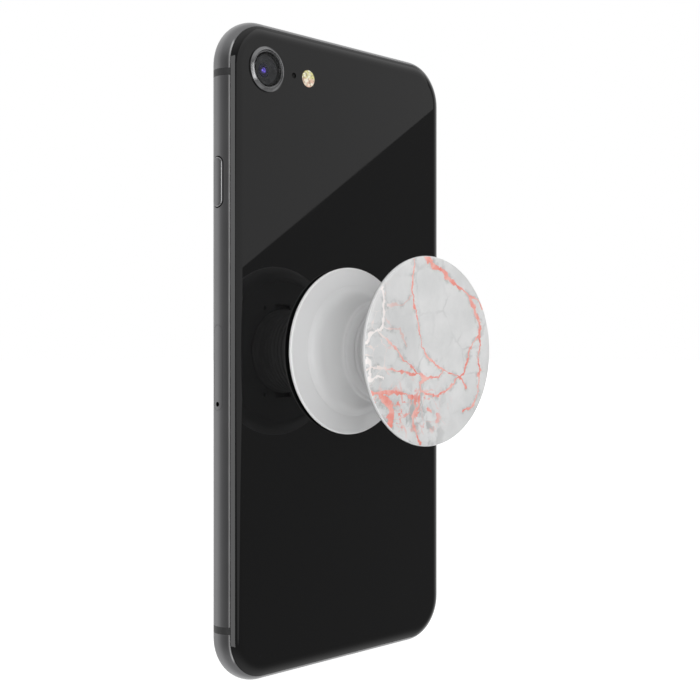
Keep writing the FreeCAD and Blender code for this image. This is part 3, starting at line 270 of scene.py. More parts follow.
def clear_glass():
    """The clear front glass."""
    m = Shader("clear_glass", IOR=1.5, Transmission_Weight=1.0)
    m.varied((0.96, 0.97, 0.97), (0.98, 0.98, 0.98), 0.03)
    m.rough(m.span(m.noise(0.02, 5, 0.7), 0.35, 0.75, 0.0, 0.02))
    return m


def black_ink():
    """The printed border behind the front glass."""
    m = Shader("black_ink")
    m.varied((0.003, 0.003, 0.003), (0.005, 0.005, 0.005), 0.004)
    m.rough(m.span(m.noise(0.0005), 0.3, 0.7, 0.35, 0.5))
    return m


def dark_screen():
    """A switched-off display, with its grid of picture cells faint in its colour."""
    m = Shader("dark_screen", Specular_IOR_Level=0.15)
    x, _, z = m.split(m.place)
    pitch = 0.000078
    columns = m.math("SINE", m.math("MULTIPLY", x, 2 * math.pi / pitch))
    rows = m.math("SINE", m.math("MULTIPLY", z, 2 * math.pi / pitch))
    cell = m.span(m.math("MULTIPLY", columns, rows), -1, 1)
    m.colour(m.mix(cell, (0.006, 0.006, 0.008), (0.011, 0.011, 0.014)))
    m.rough(m.span(m.noise(0.004), 0.3, 0.7, 0.16, 0.22))
    return m


def radius_from(m, x, z):
    """The distance from an axis along Y through (x, z), and so the radius on a turned piece."""
    across = m.vector("SUBTRACT", m.place, (x, 0, z))
    return m.vector("LENGTH", m.vector("MULTIPLY", across, (1, 0, 1)))


def camera_ring_metal():
    """Fine turning marks round the camera's ring."""
    m = Shader("camera_ring_metal", Metallic=1.0)
    radius = radius_from(m, CAMERA_LENS_X, CAMERA_LENS_Z)
    groove = m.math("SINE", m.math("MULTIPLY", radius, 2 * math.pi / 0.00006))
    m.colour(m.mix(m.span(groove, -1, 1), (0.24, 0.24, 0.245), (0.30, 0.30, 0.305)))
    m.rough(m.span(m.noise(0.0008), 0.3, 0.7, 0.16, 0.24))
    return m.bump(groove, 0.0000006)


def lens_window():
    """The camera's flat, clear window, with the weak reflection of coated glass."""
    m = Shader("lens_window", IOR=1.25, Transmission_Weight=1.0)
    m.varied((0.93, 0.95, 0.97), (0.96, 0.97, 0.98), 0.002)
    m.rough(m.span(m.noise(0.002), 0.3, 0.7, 0.0, 0.012))
    return m


def lens_coating():
    """The front lens: dark glass with a blue and violet coating."""
    m = Shader("lens_coating", IOR=1.6, Coat_Weight=0.3, Coat_Roughness=0.05, Metallic=1.0)
    band = m.span(radius_from(m, CAMERA_LENS_X, CAMERA_LENS_Z), 0.0002, 0.0009)
    m.colour(m.mix(band, (0.13, 0.08, 0.55), (0.012, 0.011, 0.03)))
    m.rough(m.span(m.noise(0.0008), 0.3, 0.7, 0.10, 0.16))
    return m


def lens_black():
    """Matte black baffles and housings inside the camera."""
    m = Shader("lens_black", Specular_IOR_Level=0.35)
    m.varied((0.004, 0.004, 0.0045), (0.007, 0.007, 0.008), 0.0008)
    m.rough(m.span(m.noise(0.0003), 0.3, 0.7, 0.32, 0.5))
    return m.bump(m.noise(0.00008, 2), 0.000003)


def flash_window():
    """The moulded prisms of the flash window, coloured by the warm and cool LEDs behind it, with painted
    glints and painted shade on the prisms.
    """
    m = Shader("flash_window", IOR=1.5, Coat_Weight=0.6, Coat_Roughness=0.04)
    _, _, z = m.split(m.place)
    upper = m.span(m.math("SUBTRACT", z, CAMERA_LENS_Z), -0.00025, 0.00035)
    base = m.mix(upper, (0.82, 0.55, 0.42), (0.72, 0.70, 0.30))
    # painted glints and painted shade scattered over the prisms
    sparkle = m.cells(0.00042, output="Color")
    glint = m.span(m.split(sparkle)[0], 0.45, 0.95)
    shade = m.span(m.split(sparkle)[1], 0.55, 1.0)
    lit = m.mix(m.math("MULTIPLY", glint, 0.85), base, (0.98, 0.95, 0.78))
    m.colour(m.mix(m.math("MULTIPLY", shade, 0.65), lit, (0.30, 0.20, 0.12)))
    m.rough(m.span(m.noise(0.0003), 0.3, 0.7, 0.05, 0.16))
    return m.bump(m.cells(0.00035), 0.00009)


def metal_mesh():
    """Fine woven wire over a sound hole."""
    m = Shader("metal_mesh", Metallic=0.8)
    x, _, z = m.split(m.place)
    pitch = 0.00012
    weave = m.math(
        "MULTIPLY",
        m.math("SINE", m.math("MULTIPLY", m.math("ADD", x, z), 2 * math.pi / pitch)),
        m.math("SINE", m.math("MULTIPLY", m.math("SUBTRACT", x, z), 2 * math.pi / pitch)),
    )
    m.colour(m.mix(m.span(weave, -0.3, 0.7), (0.004, 0.004, 0.004), (0.10, 0.10, 0.10)))
    m.rough(m.span(m.noise(0.0006), 0.3, 0.7, 0.35, 0.5))
    return m.bump(weave, 0.00002)


def sheet_steel():
    """Stamped and plated sheet steel."""
    m = Shader("sheet_steel", Metallic=1.0)
    m.varied((0.44, 0.44, 0.43), (0.55, 0.55, 0.54), 0.003)
    m.rough(m.span(m.noise(0.0008, 4), 0.3, 0.7, 0.28, 0.42))
    return m.bump(m.noise(0.0003), 0.000006)


def enamelled_copper():
    """Copper strands of the charging coil."""
    m = Shader("enamelled_copper", Metallic=1.0, Coat_Weight=0.4, Coat_Roughness=0.1)
    centre = middle("wireless_charging_coil")
    radius = radius_from(m, centre.x, centre.z)
    strand = m.math("SINE", m.math("MULTIPLY", radius, 2 * math.pi / 0.00018))
    m.colour(m.mix(m.span(strand, -1, 1), (0.42, 0.16, 0.07), (0.80, 0.40, 0.22)))
    m.rough(m.span(m.noise(0.001), 0.3, 0.7, 0.22, 0.32))
    return m.bump(strand, 0.00003)


def moulded(name, dark, light, rough, gloss=0.0, grain=0.00025, depth=0.000004):
    """Plastic, rubber or another dull material with a fine grain, under a glossy skin if gloss isn't 0."""
    m = Shader(name, Coat_Weight=gloss, Coat_Roughness=0.14)
    m.varied(dark, light, 0.006)
    m.rough(m.span(m.noise(0.0012, 4), 0.3, 0.7, rough - 0.05, rough + 0.05))
    return m.bump(m.noise(grain, 3), depth)


def highlit_rim_plastic():
    """The grip's moulded plastic, with a painted highlight along the sharp outer rim of its base."""
    m = Shader("highlit_rim_plastic", Coat_Weight=0.6, Coat_Roughness=0.14)
    m.rough(m.span(m.noise(0.0012, 4), 0.3, 0.7, 0.37, 0.47))
    m.bump(m.noise(0.00025, 3), 0.000004)
    edge = width_of("grip_base") / 2
    # painted highlight: a pale band along the base's outer rim
    rim = m.span(radius_from(m, GRIP_X, 0), edge - 0.00034, edge - 0.00022)
    body = m.mix(m.noise(0.006), (0.655, 0.657, 0.66), (0.685, 0.687, 0.69))
    return m.colour(m.mix(rim, body, (0.86, 0.86, 0.86)))


def foil(name, dark, light):
    """Crinkled foil."""
    m = Shader(name, Metallic=0.7)
    m.varied(dark, light, 0.004)
    m.rough(m.span(m.noise(0.002, 4), 0.3, 0.7, 0.3, 0.5))
    return m.bump(m.noise(0.003, 5, 0.6), 0.00006)


def circuit_board():
    """Solder mask over copper tracks."""
    m = Shader("circuit_board", Coat_Weight=0.5, Coat_Roughness=0.15)
    x, _, z = m.split(m.place)
    grid = m.joined(m.math("SNAP", x, 0.0006), 0.0, m.math("SNAP", z, 0.0006))
    tracks = m.span(m.noise(0.0011, 0, where=grid), 0.47, 0.53)
    m.colour(m.mix(tracks, (0.008, 0.035, 0.022), (0.018, 0.075, 0.045)))
    m.rough(m.span(m.noise(0.001), 0.3, 0.7, 0.35, 0.45))
    return m.bump(tracks, 0.00002)


def gold_contacts():
    """Plated contacts with light wipe marks."""
    m = Shader("gold_contacts", Metallic=1.0)
    m.varied((0.78, 0.55, 0.22), (0.90, 0.68, 0.32), 0.002)
    m.rough(m.span(m.noise(0.0006, 4), 0.3, 0.7, 0.18, 0.30))
    return m


def sim_card_face():
    """A white card with its gold contact pad."""
    m = Shader("sim_card_face")
    centre = middle("sim_card")
    x, _, z = m.split(m.vector("SUBTRACT", m.place, tuple(centre)))
    pad = m.math(
        "MULTIPLY",
        m.span(m.math("ABSOLUTE", x), 0.0041, 0.0042, 1.0, 0.0),
        m.span(m.math("ABSOLUTE", z), 0.0031, 0.0032, 1.0, 0.0),
    )
    gaps = m.span(m.math("ABSOLUTE", m.math("SINE", m.math("MULTIPLY", z, math.pi / 0.0021))), 0.08, 0.14)
    m.colour(m.mix(m.math("MULTIPLY", pad, gaps), (0.80, 0.81, 0.83), (0.83, 0.62, 0.28)))
    m.rough(m.span(m.noise(0.001), 0.3, 0.7, 0.3, 0.4))
    return m


def vein_distance(m, where, route):
    """The distance from a point to a bent line through the given (x, z) places in millimetres."""
    nearest = None
    for (x0, z0), (x1, z1) in zip(route, route[1:]):
        start = Vector((x0, 0, z0)) * MM
        run = Vector((x1 - x0, 0, z1 - z0)) * MM
        from_start = m.vector("SUBTRACT", where, tuple(start))
        along = m.math("DIVIDE", m.vector("DOT_PRODUCT", from_start, tuple(run)), run.length_squared)
        along = m.clamped(along)
        to_line = m.vector("SUBTRACT", from_start, m.scaled(tuple(run), along))
        distance = m.vector("LENGTH", to_line)
        nearest = distance if nearest is None else m.math("MINIMUM", nearest, distance)
    return nearest


# Veins of the printed stone, as places on the disc in millimetres right and up of its centre as
# someone looks at it from behind the phone, with each vein's half width in millimetres.
MAIN_VEINS = [
    (0.55, [(-2.0, 20.0), (1.5, 18.0), (4.5, 16.5), (7.0, 14.5)]),
    (0.24, [(7.0, 14.5), (10.0, 13.6), (12.0, 12.0), (14.0, 9.0), (16.5, 5.5), (16.2, 1.5), (15.2, -1.0)]),
    (0.20, [(12.0, 12.0), (15.0, 11.0), (18.0, 8.5)]),
    (0.18, [(16.2, 3.5), (14.0, 2.0), (11.8, -2.0), (10.5, -5.0), (9.0, -5.6)]),
    (0.16, [(15.2, -1.0), (16.2, -4.0), (15.3, -8.5), (14.2, -11.5), (10.8, -13.0)]),
    (0.15, [(-5.5, 20.0), (-5.8, 12.5), (-4.8, 8.0), (-3.4, 0.8), (0.5, -2.0), (3.0, -3.2), (9.0, -5.6)]),
    (0.18, [(-16.3, 4.0), (-12.0, 1.0), (-8.5, -1.5), (-4.2, -4.2), (-1.2, -5.2), (2.2, -5.4), (3.6, -3.6)]),
    (0.16, [(-19.5, -3.5), (-12.5, -3.4), (-7.5, -4.2), (-4.2, -4.4)]),
    (0.38, [(-19.0, -8.0), (-14.0, -8.0), (-9.5, -8.8), (-6.0, -9.6)]),
    (0.55, [(-15.5, -8.5), (-13.5, -10.5), (-11.8, -12.0), (-13.2, -15.5)]),
    (0.22, [(-1.2, -5.2), (-3.6, -6.4), (-3.2, -8.3), (1.5, -9.6), (4.5, -8.4), (9.0, -5.6), (11.5, -8.0)]),
    (0.20, [(-3.2, -8.3), (-3.8, -11.5), (-5.8, -13.2), (-5.6, -15.5), (-3.4, -19.5)]),
]
PALE_VEINS = [
    (0.30, [(-15.3, 13.5), (-14.8, 8.0), (-14.8, 5.0), (-18.0, 3.0), (-20.0, 1.0)]),
    (0.28, [(-19.5, -1.5), (-18.4, -2.5), (-18.6, -5.6), (-15.0, -5.0)]),
    (0.13, [(-13.5, 9.4), (-9.0, 10.0), (-6.0, 11.5)]),
    (0.12, [(-14.8, 5.2), (-10.0, 4.4), (-8.0, 1.5)]),
]


def vein_reach(m, bent, swell, veins):
    """How far a point is outside the nearest of the veins, which swell and thin along their way."""
    reach = None
    for half, route in veins:
        edge = m.math("SUBTRACT", vein_distance(m, bent, route), m.math("MULTIPLY", swell, half * MM))
        reach = edge if reach is None else m.math("MINIMUM", reach, edge)
    return reach


def disc_place(m):
    """Places on the printed disc from its centre, right and up as seen from behind the phone."""
    x, _, z = m.split(m.vector("SUBTRACT", m.place, tuple(middle("grip_print_disc"))))
    return m.joined(m.math("MULTIPLY", x, -1.0), 0.0, z)


def bent_place(m, flat):
    """The same places shifted by coarse and fine noise, so that lines drawn through them bend."""
    shake = m.vector("SUBTRACT", m.noise(0.007, 5, 0.62, flat, "Color"), (0.5, 0.5, 0.5))
    jitter = m.vector("SUBTRACT", m.noise(0.0015, 4, 0.65, flat, "Color"), (0.5, 0.5, 0.5))
    shift = m.vector("ADD", m.scaled(shake, 0.0034), m.scaled(jitter, 0.0013))
    return m.vector("MULTIPLY", m.vector("ADD", flat, shift), (1, 0, 1))


def stone_regions(m, flat):
    """The disc's low left, where blots and shadows gather, and its far left, where a painted glint whitens
    the veins.
    """
    right, _, up = m.split(flat)
    low_left = m.math(
        "MULTIPLY",
        m.span(up, -0.0120, -0.0040, 1.0, 0.0),
        m.span(right, -0.0030, 0.0080, 1.0, 0.0),
    )
    far_left = m.math(
        "MULTIPLY",
        m.span(right, -0.0150, -0.0115, 1.0, 0.0),
        m.span(up, -0.0085, -0.0060),
    )
    return low_left, far_left


def foil_cover(m, flat, bent, reach, low_left, far_left):
    """1 where the print is foil: its main veins, a fine web in two regions, and blots low on the left."""
    up = m.split(flat)[2]
    cluster = m.math("MULTIPLY", low_left, m.span(up, -0.0185, -0.0140, 0.0, 1.0))
    vein = m.span(reach, -0.00004, 0.00010, 1.0, 0.0)
    web = m.cells(0.0046, "DISTANCE_TO_EDGE", bent)
    web_width = m.math("MULTIPLY", m.span(m.noise(0.005, 3, 0.6, flat), 0.48, 0.72), 0.07)
    web_vein = m.span(m.math("SUBTRACT", web, web_width), -0.010, 0.016, 1.0, 0.0)
    web_here = m.math("MAXIMUM", m.math("MULTIPLY", cluster, 0.8), m.math("MULTIPLY", far_left, 0.9))
    blot = m.math("MULTIPLY", m.span(m.noise(0.0030, 5, 0.65, bent), 0.560, 0.590), cluster)
    return m.math("MAXIMUM", vein, m.math("MAXIMUM", m.math("MULTIPLY", web_vein, web_here), blot))


def grey_stone(m, flat, bent, nearest, low_left):
    """White stone with grey clouds and cracks, darker in patches beside the veins and low on the left."""
    crack_web = m.cells(0.0085, "DISTANCE_TO_EDGE", m.vector("ADD", bent, (0.004, 0, 0.007)))
    cracks = m.math(
        "MULTIPLY",
        m.span(crack_web, 0.0, 0.045, 1.0, 0.0),
        m.span(m.noise(0.008, 3, 0.5, flat), 0.42, 0.7),
    )
    clouds = m.span(m.noise(0.010, 6, 0.62, bent), 0.30, 0.72)
    stone = m.mix(clouds, (0.635, 0.64, 0.64), (0.75, 0.75, 0.75))
    stone = m.mix(m.math("MULTIPLY", cracks, 0.35), stone, (0.30, 0.305, 0.305))
    beside = m.span(nearest, 0.0, 0.0011, 1.0, 0.0)
    near = m.math("MULTIPLY", beside, m.span(m.noise(0.0022, 5, 0.65, flat), 0.46, 0.62, 0.0, 0.48))
    patches = m.span(m.noise(0.0038, 5, 0.6, bent), 0.46, 0.62, 0.0, 0.60)
    shadowed = m.math("MULTIPLY", low_left, patches)
    return m.mix(m.math("MAXIMUM", near, shadowed), stone, (0.26, 0.265, 0.265))


def stone_print():
    """Printed white stone with pink-gold foil veins, whitened on the far left by a painted glint, and a
    painted highlight round the print's rim.
    """
    m = Shader("stone_print", IOR=1.5, Coat_Weight=0.25, Coat_Roughness=0.08)
    flat = disc_place(m)
    bent = bent_place(m, flat)
    low_left, far_left = stone_regions(m, flat)
    swell = m.span(m.noise(0.0036, 4, 0.6, flat), 0.36, 0.70, 0.35, 2.3)
    reach = vein_reach(m, bent, swell, MAIN_VEINS)
    pale_reach = vein_reach(m, bent, swell, PALE_VEINS)
    foil = foil_cover(m, flat, bent, reach, low_left, far_left)
    stone = grey_stone(m, flat, bent, m.math("MINIMUM", reach, pale_reach), low_left)

    tint = m.span(m.noise(0.0042, 4, 0.6, flat), 0.36, 0.66)
    rose = m.mix(tint, (0.84, 0.27, 0.22), (0.88, 0.52, 0.47))
    # painted glint: the foil veins turn near-white on the far left
    rose = m.mix(far_left, rose, (0.88, 0.80, 0.77))
    printed = m.mix(foil, stone, rose)
    # painted glint: the pale veins turn whiter on the far left too
    pale = m.mix(far_left, (0.72, 0.52, 0.49), (0.95, 0.90, 0.88))
    pale_vein = m.span(pale_reach, -0.00004, 0.00012, 1.0, 0.0)
    printed = m.mix(m.math("MULTIPLY", pale_vein, 0.9), printed, pale)
    radius = m.vector("LENGTH", flat)
    # painted highlight: a pale ring along the print's edge
    print_edge_highlight = m.span(radius, PRINT_RADIUS - 0.00010, PRINT_RADIUS - 0.00005)
    m.colour(m.mix(print_edge_highlight, printed, (0.85, 0.85, 0.85)))
    m.rough(m.span(foil, 0.0, 1.0, 0.34, 0.24))
    return m


MATERIALS = {
    "metal": anodised_metal(),
    "chamfer": polished_chamfer(),
    "antenna": antenna_plastic(),
    "black_glass": black_glass(),
    "clear_glass": clear_glass(),
    "ink": black_ink(),
    "screen": dark_screen(),
    "ring": camera_ring_metal(),
    "window": lens_window(),
    "coating": lens_coating(),
    "lens_black": lens_black(),
    "flash": flash_window(),
    "mesh": metal_mesh(),
    "steel": sheet_steel(),
    "copper": enamelled_copper(),
    "adhesive": moulded("adhesive", (0.02, 0.02, 0.02), (0.03, 0.03, 0.03), 0.7),
    "led": moulded("led", (0.75, 0.66, 0.25), (0.85, 0.78, 0.35), 0.5),
    "battery": foil("battery_foil", (0.012, 0.012, 0.013), (0.02, 0.02, 0.021)),
    "strip": moulded("strip", (0.80, 0.80, 0.79), (0.87, 0.87, 0.86), 0.55),
    "board": circuit_board(),
    "black_plastic": moulded("black_plastic", (0.012, 0.012, 0.012), (0.02, 0.02, 0.02), 0.45),
    "gold": gold_contacts(),
    "card": sim_card_face(),
    "seal": moulded("seal_rubber", (0.015, 0.015, 0.015), (0.025, 0.025, 0.025), 0.75),
    "orange": moulded("mute_orange", (0.72, 0.16, 0.03), (0.80, 0.20, 0.04), 0.4),
    "tungsten": moulded("tungsten", (0.20, 0.20, 0.21), (0.27, 0.27, 0.28), 0.4),
    "gel": moulded("gel_pad", (0.62, 0.63, 0.63), (0.70, 0.71, 0.71), 0.5),
    "grip": moulded("grip_plastic", (0.635, 0.637, 0.64), (0.665, 0.667, 0.67), 0.42, 0.6),
    "grip_highlit_rim": highlit_rim_plastic(),
    "neck": moulded("grip_elastomer", (0.64, 0.642, 0.645), (0.67, 0.672, 0.675), 0.55),
    "print": stone_print(),
}

FINISH = {
    "frame_middle": "metal", "frame_top": "metal", "frame_bottom": "metal",
    "antenna_insulator_top": "antenna", "antenna_insulator_bottom": "antenna",
    "rear_glass": "black_glass", "rear_glass_adhesive": "adhesive", "display_seal": "adhesive",
    "camera_ring": "ring", "camera_window": "window", "camera_housing": "lens_black",
    "camera_lens_barrel": "lens_black", "camera_front_lens": "coating",
    "flash_lens": "flash", "flash_led_board": "led", "rear_microphone_mesh": "mesh",
    "wireless_charging_coil": "copper",
    "cover_glass": "clear_glass", "display_ink_border": "ink", "display_frame": "black_plastic",
    "lcd_panel": "screen", "backlight_unit": "steel", "display_shield": "steel",
    "home_button_ring": "ring", "home_button_cover": "black_glass", "fingerprint_sensor": "board",
    "earpiece_mesh": "mesh", "earpiece_receiver": "black_plastic", "front_camera": "lens_black",
    "battery": "battery", "battery_adhesive_strips": "strip",
    "logic_board": "board", "board_shields": "steel",
    "sim_tray": "metal", "sim_card": "card", "sim_tray_seal": "seal",
    "sim_reader": "steel", "sim_eject_rod": "steel", "sim_eject_lever": "steel",
    "side_button": "metal", "volume_up_button": "metal", "volume_down_button": "metal",
    "button_switches": "black_plastic", "mute_lever": "metal", "mute_base": "orange",
    "charging_port": "black_plastic", "charging_port_contacts": "gold",
    "bottom_screws": "steel", "sound_meshes": "mesh", "loudspeaker": "black_plastic",
    "haptic_case": "steel", "haptic_weight": "tungsten", "haptic_springs": "steel",
    "grip_adhesive_pad": "gel", "grip_base": "grip_highlit_rim", "grip_bellows": "neck",
    "grip_hub": "grip", "grip_top_shell": "grip", "grip_bayonet_plate": "grip",
    "grip_print_disc": "print",
}


def finish_of(name):
    return MATERIALS[name].material


def paint_frame():
    """Gives every CAD node its material."""
    for name, node in NODES.items():
        node.data.materials.clear()
        node.data.materials.append(finish_of(FINISH[name]))


# Pieces made here


def add_piece(name, mesh, body, nodes=(), material=None):
    """Links a mesh as a piece that rides on a body, and hides the CAD nodes that it stands for."""
    piece = bpy.data.objects.new(name, mesh)
    bpy.context.scene.collection.objects.link(piece)
    if material is not None:
        mesh.materials.append(finish_of(material))
    mesh.shade_smooth()
    mesh.set_sharp_from_angle(angle=math.radians(40))
    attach(piece, body)
    if nodes:
        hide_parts(*nodes)
    return piece


ARC_STEPS = 6
ROUND_SEGMENTS = 160
DISC_SEGMENTS = 200


def rounded(corners):
    """A profile through (radius, height, rounding) corners in millimetres, each corner cut by an arc."""
    points = []
    count = len(corners)
    for i, (r, h, rounding) in enumerate(corners):
        here = Vector((r, h))
        if rounding == 0 or i in (0, count - 1):
            points.append(here)
            continue
        before = Vector(corners[i - 1][:2]) - here
        after = Vector(corners[i + 1][:2]) - here
        reach = min(rounding, before.length * 0.49, after.length * 0.49)
        start, end = here + before.normalized() * reach, here + after.normalized() * reach
        for k in range(ARC_STEPS + 1):
            t = k / ARC_STEPS
            points.append(start * (1 - t) ** 2 + here * 2 * t * (1 - t) + end * t ** 2)
    return [p * MM for p in points]


def mesh_from(bm, name):
    """Turns a finished bmesh into a mesh with its faces outward."""
    bmesh.ops.recalc_face_normals(bm, faces=bm.faces)
    mesh = bpy.data.meshes.new(name)
    bm.to_mesh(mesh)
    bm.free()
    return mesh


def turned_ring(bm, centre, radius, height, segments):
    """A ring of vertices about Y, or a single one where the radius is nothing."""
    if radius < 1e-7:
        return [bm.verts.new(centre + Vector((0, height, 0)))]
    ring = []
    for k in range(segments):
        angle = 2 * math.pi * k / segments
        place = Vector((radius * math.cos(angle), height, radius * math.sin(angle)))
        ring.append(bm.verts.new(centre + place))
    return ring


def turned(name, profile, centre, segments=ROUND_SEGMENTS):
    """A closed surface of revolution about Y through (radius, height) points in metres."""
    bm = bmesh.new()
    rings = [turned_ring(bm, centre, radius, height, segments) for radius, height in profile]
    pairs = list(zip(rings, rings[1:]))
    if len(rings[0]) > 1:
        pairs.append((rings[-1], rings[0]))
    for low, high in pairs:
        for k in range(segments):
            n = (k + 1) % segments
            if len(low) == 1:
                bm.faces.new((low[0], high[k], high[n]))
            elif len(high) == 1:
                bm.faces.new((low[k], high[0], low[n]))
            else:
                bm.faces.new((low[k], high[k], high[n], low[n]))
    return mesh_from(bm, name)


def grip_axis():
    """The point where the grip's axis meets the rear glass."""
    return Vector((GRIP_X, BACK_Y, 0))


def above_glass(y):
    """A place's height above the rear glass, in millimetres."""
    return (y - BACK_Y) / MM


def add_turned(name, corners, axis, body, node, material, segments=ROUND_SEGMENTS):
    """A turned piece that stands for one CAD node."""
    mesh = turned(name, rounded(corners), axis, segments)
    return add_piece(name, mesh, body, [node], material)


def grip_base_piece():
    """The grip's base, a shallow dish whose sharp widest edge is low."""
    low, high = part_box("grip_base")
    foot, top = above_glass(low.y), above_glass(high.y)
    radius = width_of("grip_base") / 2 / MM
    corners = [
        (0, foot, 0), (radius - 0.08, foot, 0.05), (radius, foot + 0.12, 0.08),
        (radius, 0.92, 0.12), (radius - 0.32, 1.28, 0.22), (radius - 0.9, 1.36, 0.4),
        (14.6, top - 0.06, 1.2), (13.4, top, 0), (0, top, 0),
    ]
    add_turned("grip_base_moulding", corners, grip_axis(), "phone", "grip_base", "grip_highlit_rim")


def neck_outline(base_top, neck_top):
    """The folding neck's wall: a tapering skirt, one shoulder, then seven fine ribs up to its flange."""
    outer = [
        (14.5, base_top - 0.05, 0), (13.4, base_top + 0.45, 1.0), (12.5, base_top + 1.6, 1.2),
        (11.85, base_top + 3.6, 1.5), (11.5, base_top + 5.6, 1.0), (11.3, base_top + 7.0, 0.25),
        (11.0, base_top + 7.4, 0.25), (10.45, base_top + 7.55, 0.3), (10.1, base_top + 8.3, 0.4),
    ]
    ribs = 7
    rib_start, rib_end = base_top + 9.7, neck_top - 2.2
    for k in range(ribs):
        h = rib_start + (rib_end - rib_start) * k / (ribs - 1)
        crest = 10.05 - 0.08 * k
        root = crest - 0.26
        outer += [(root, h - 0.48, 0.15), (crest, h - 0.18, 0.15)]
        outer += [(crest, h + 0.18, 0.15), (root, h + 0.46, 0.15)]
    outer += [(9.3, neck_top - 1.1, 0.3), (9.9, neck_top - 0.6, 0.25), (9.9, neck_top, 0.1)]
    inner = [
        (8.4, neck_top, 0), (8.6, rib_start, 0.5), (9.6, base_top + 6.2, 0.6),
        (11.2, base_top + 3.2, 1.0), (12.9, base_top - 0.05, 0),
    ]
    return outer + inner


def grip_neck_piece():
    """The grip's soft neck, which folds flat as the grip is pushed in."""
    low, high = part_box("grip_bellows")
    corners = neck_outline(above_glass(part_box("grip_base")[1].y), above_glass(high.y))
    neck = add_turned("grip_neck_moulding", corners, grip_axis(), "phone",
                      "grip_bellows", "neck")
    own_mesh(neck)


def grip_top_pieces():
    """The grip's top: a shell with a thin rim, and the printed face set in it."""
    low, high = (above_glass(corner.y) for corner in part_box("grip_top_shell"))
    radius = width_of("grip_top_shell") / 2 / MM
    corners = [
        (0, high - 0.5, 0), (11.0, high - 0.5, 0.2), (11.0, low + 0.7, 0.15), (16.6, low + 0.7, 0.2),
        (16.6, low, 0.15), (17.4, low, 0.4), (18.9, low + 0.72, 1.2), (radius - 0.1, low + 1.78, 0.5),
        (radius, high - 0.2, 0.12), (radius - 0.08, high, 0.05), (0, high, 0),
    ]
    add_turned("grip_top_moulding", corners, grip_axis(), "grip_top",
               "grip_top_shell", "grip", DISC_SEGMENTS)
    low, high = (above_glass(corner.y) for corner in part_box("grip_print_disc"))
    edge = PRINT_RADIUS / MM
    corners = [
        (0, low, 0), (edge - 0.03, low, 0.02), (edge, low + 0.12, 0.08),
        (edge - 0.16, high - 0.1, 0.2), (edge - 0.7, high - 0.005, 0.4), (0, high, 0),
    ]
    add_turned("grip_printed_face", corners, grip_axis(), "grip_top",
               "grip_print_disc", "print", DISC_SEGMENTS)


def grip_pad_piece():
    """The sticky gel pad, with a slightly bulging edge."""
    depth = above_glass(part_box("grip_adhesive_pad")[1].y)
    corners = [(0, 0, 0), (16.35, 0, 0.1), (16.5, depth * 0.5, 0.2), (16.4, depth, 0.1), (0, depth, 0)]
    add_turned("grip_gel_ring", corners, grip_axis(), "phone", "grip_adhesive_pad", "gel")


def stadium(bm, centre, length, width, x, steps=24):
    """A ring of vertices round a slot shape in a plane of constant X."""
    radius, reach = width / 2, (length - width) / 2
    ring = []
    for end in (1, -1):
        for k in range(steps + 1):
            angle = math.pi * k / steps + (0 if end > 0 else math.pi)
            y = centre.y + radius * math.cos(angle)
            z = centre.z + end * reach + radius * math.sin(angle)
            ring.append(bm.verts.new((x(y), y, z)))
    return ring


def side_cap(name, node, body):
    """A button cap whose rounded, chamfered face follows the phone's round edge."""
    low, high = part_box(node)
    side = 1 if low.x > 0 else -1
    outer = high.x if side > 0 else -low.x
    centre = (low + high) / 2
    length, width = high.z - low.z - CAP_FLANGE, high.y - low.y - CAP_FLANGE
    mid_y = (phone_low.y + phone_high.y) / 2
    radius = BACK_Y / 2
    crown = outer - radius

    def sunk(depth):
        """The X of the round face, sunk by a depth, for each Y."""
        return lambda y: side * (crown + math.sqrt(max(radius ** 2 - (y - mid_y) ** 2, 0)) - depth)

    def back(_):
        return side * (outer - CAP_DEPTH)

    levels = [(0.0, back), (0.0, sunk(0.00022)), (0.00006, sunk(0.00010)), (0.00016, sunk(0.00003)),
              (0.00030, sunk(0.0)), (0.0007, sunk(0.0)), (0.0011, sunk(0.0))]
    bm = bmesh.new()
    rings = [stadium(bm, centre, length - 2 * inset, width - 2 * inset, x) for inset, x in levels]
    for a, b in zip(rings, rings[1:]):
        for k in range(len(a)):
            n = (k + 1) % len(a)
            bm.faces.new((a[k], b[k], b[n], a[n]))
    bm.faces.new(rings[-1])
    bm.faces.new(list(reversed(rings[0])))
    mesh = mesh_from(bm, name)
    mesh.materials.append(finish_of("metal"))
    mesh.materials.append(finish_of("chamfer"))
    count = len(rings[0])
    for face in list(mesh.polygons)[count:3 * count]:
        face.material_index = 1
    add_piece(name, mesh, body, [node])


def camera_axis():
    """The point where the camera's axis meets the rear glass."""
    return Vector((CAMERA_LENS_X, BACK_Y, CAMERA_LENS_Z))


def camera_ring_piece():
    """The raised ring, with its wide bevel and the ledge that holds the window."""
    rise = above_glass(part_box("camera_ring")[1].y)
    corners = [
        (3.35, -0.9, 0), (4.5, -0.9, 0), (4.5, 0.0, 0.05), (4.72, 0.0, 0.02), (4.72, 0.30, 0.06),
        (4.20, rise - 0.06, 0.08), (4.06, rise, 0.05), (3.98, rise - 0.04, 0.04), (3.90, rise - 0.30, 0.05),
        (3.80, rise - 0.34, 0.03), (3.66, rise - 0.34, 0.02), (3.66, 0.12, 0.02), (3.35, 0.12, 0),
    ]
    add_turned("camera_ring_turned", corners, camera_axis(), "phone",
               "camera_ring", "ring", DISC_SEGMENTS)


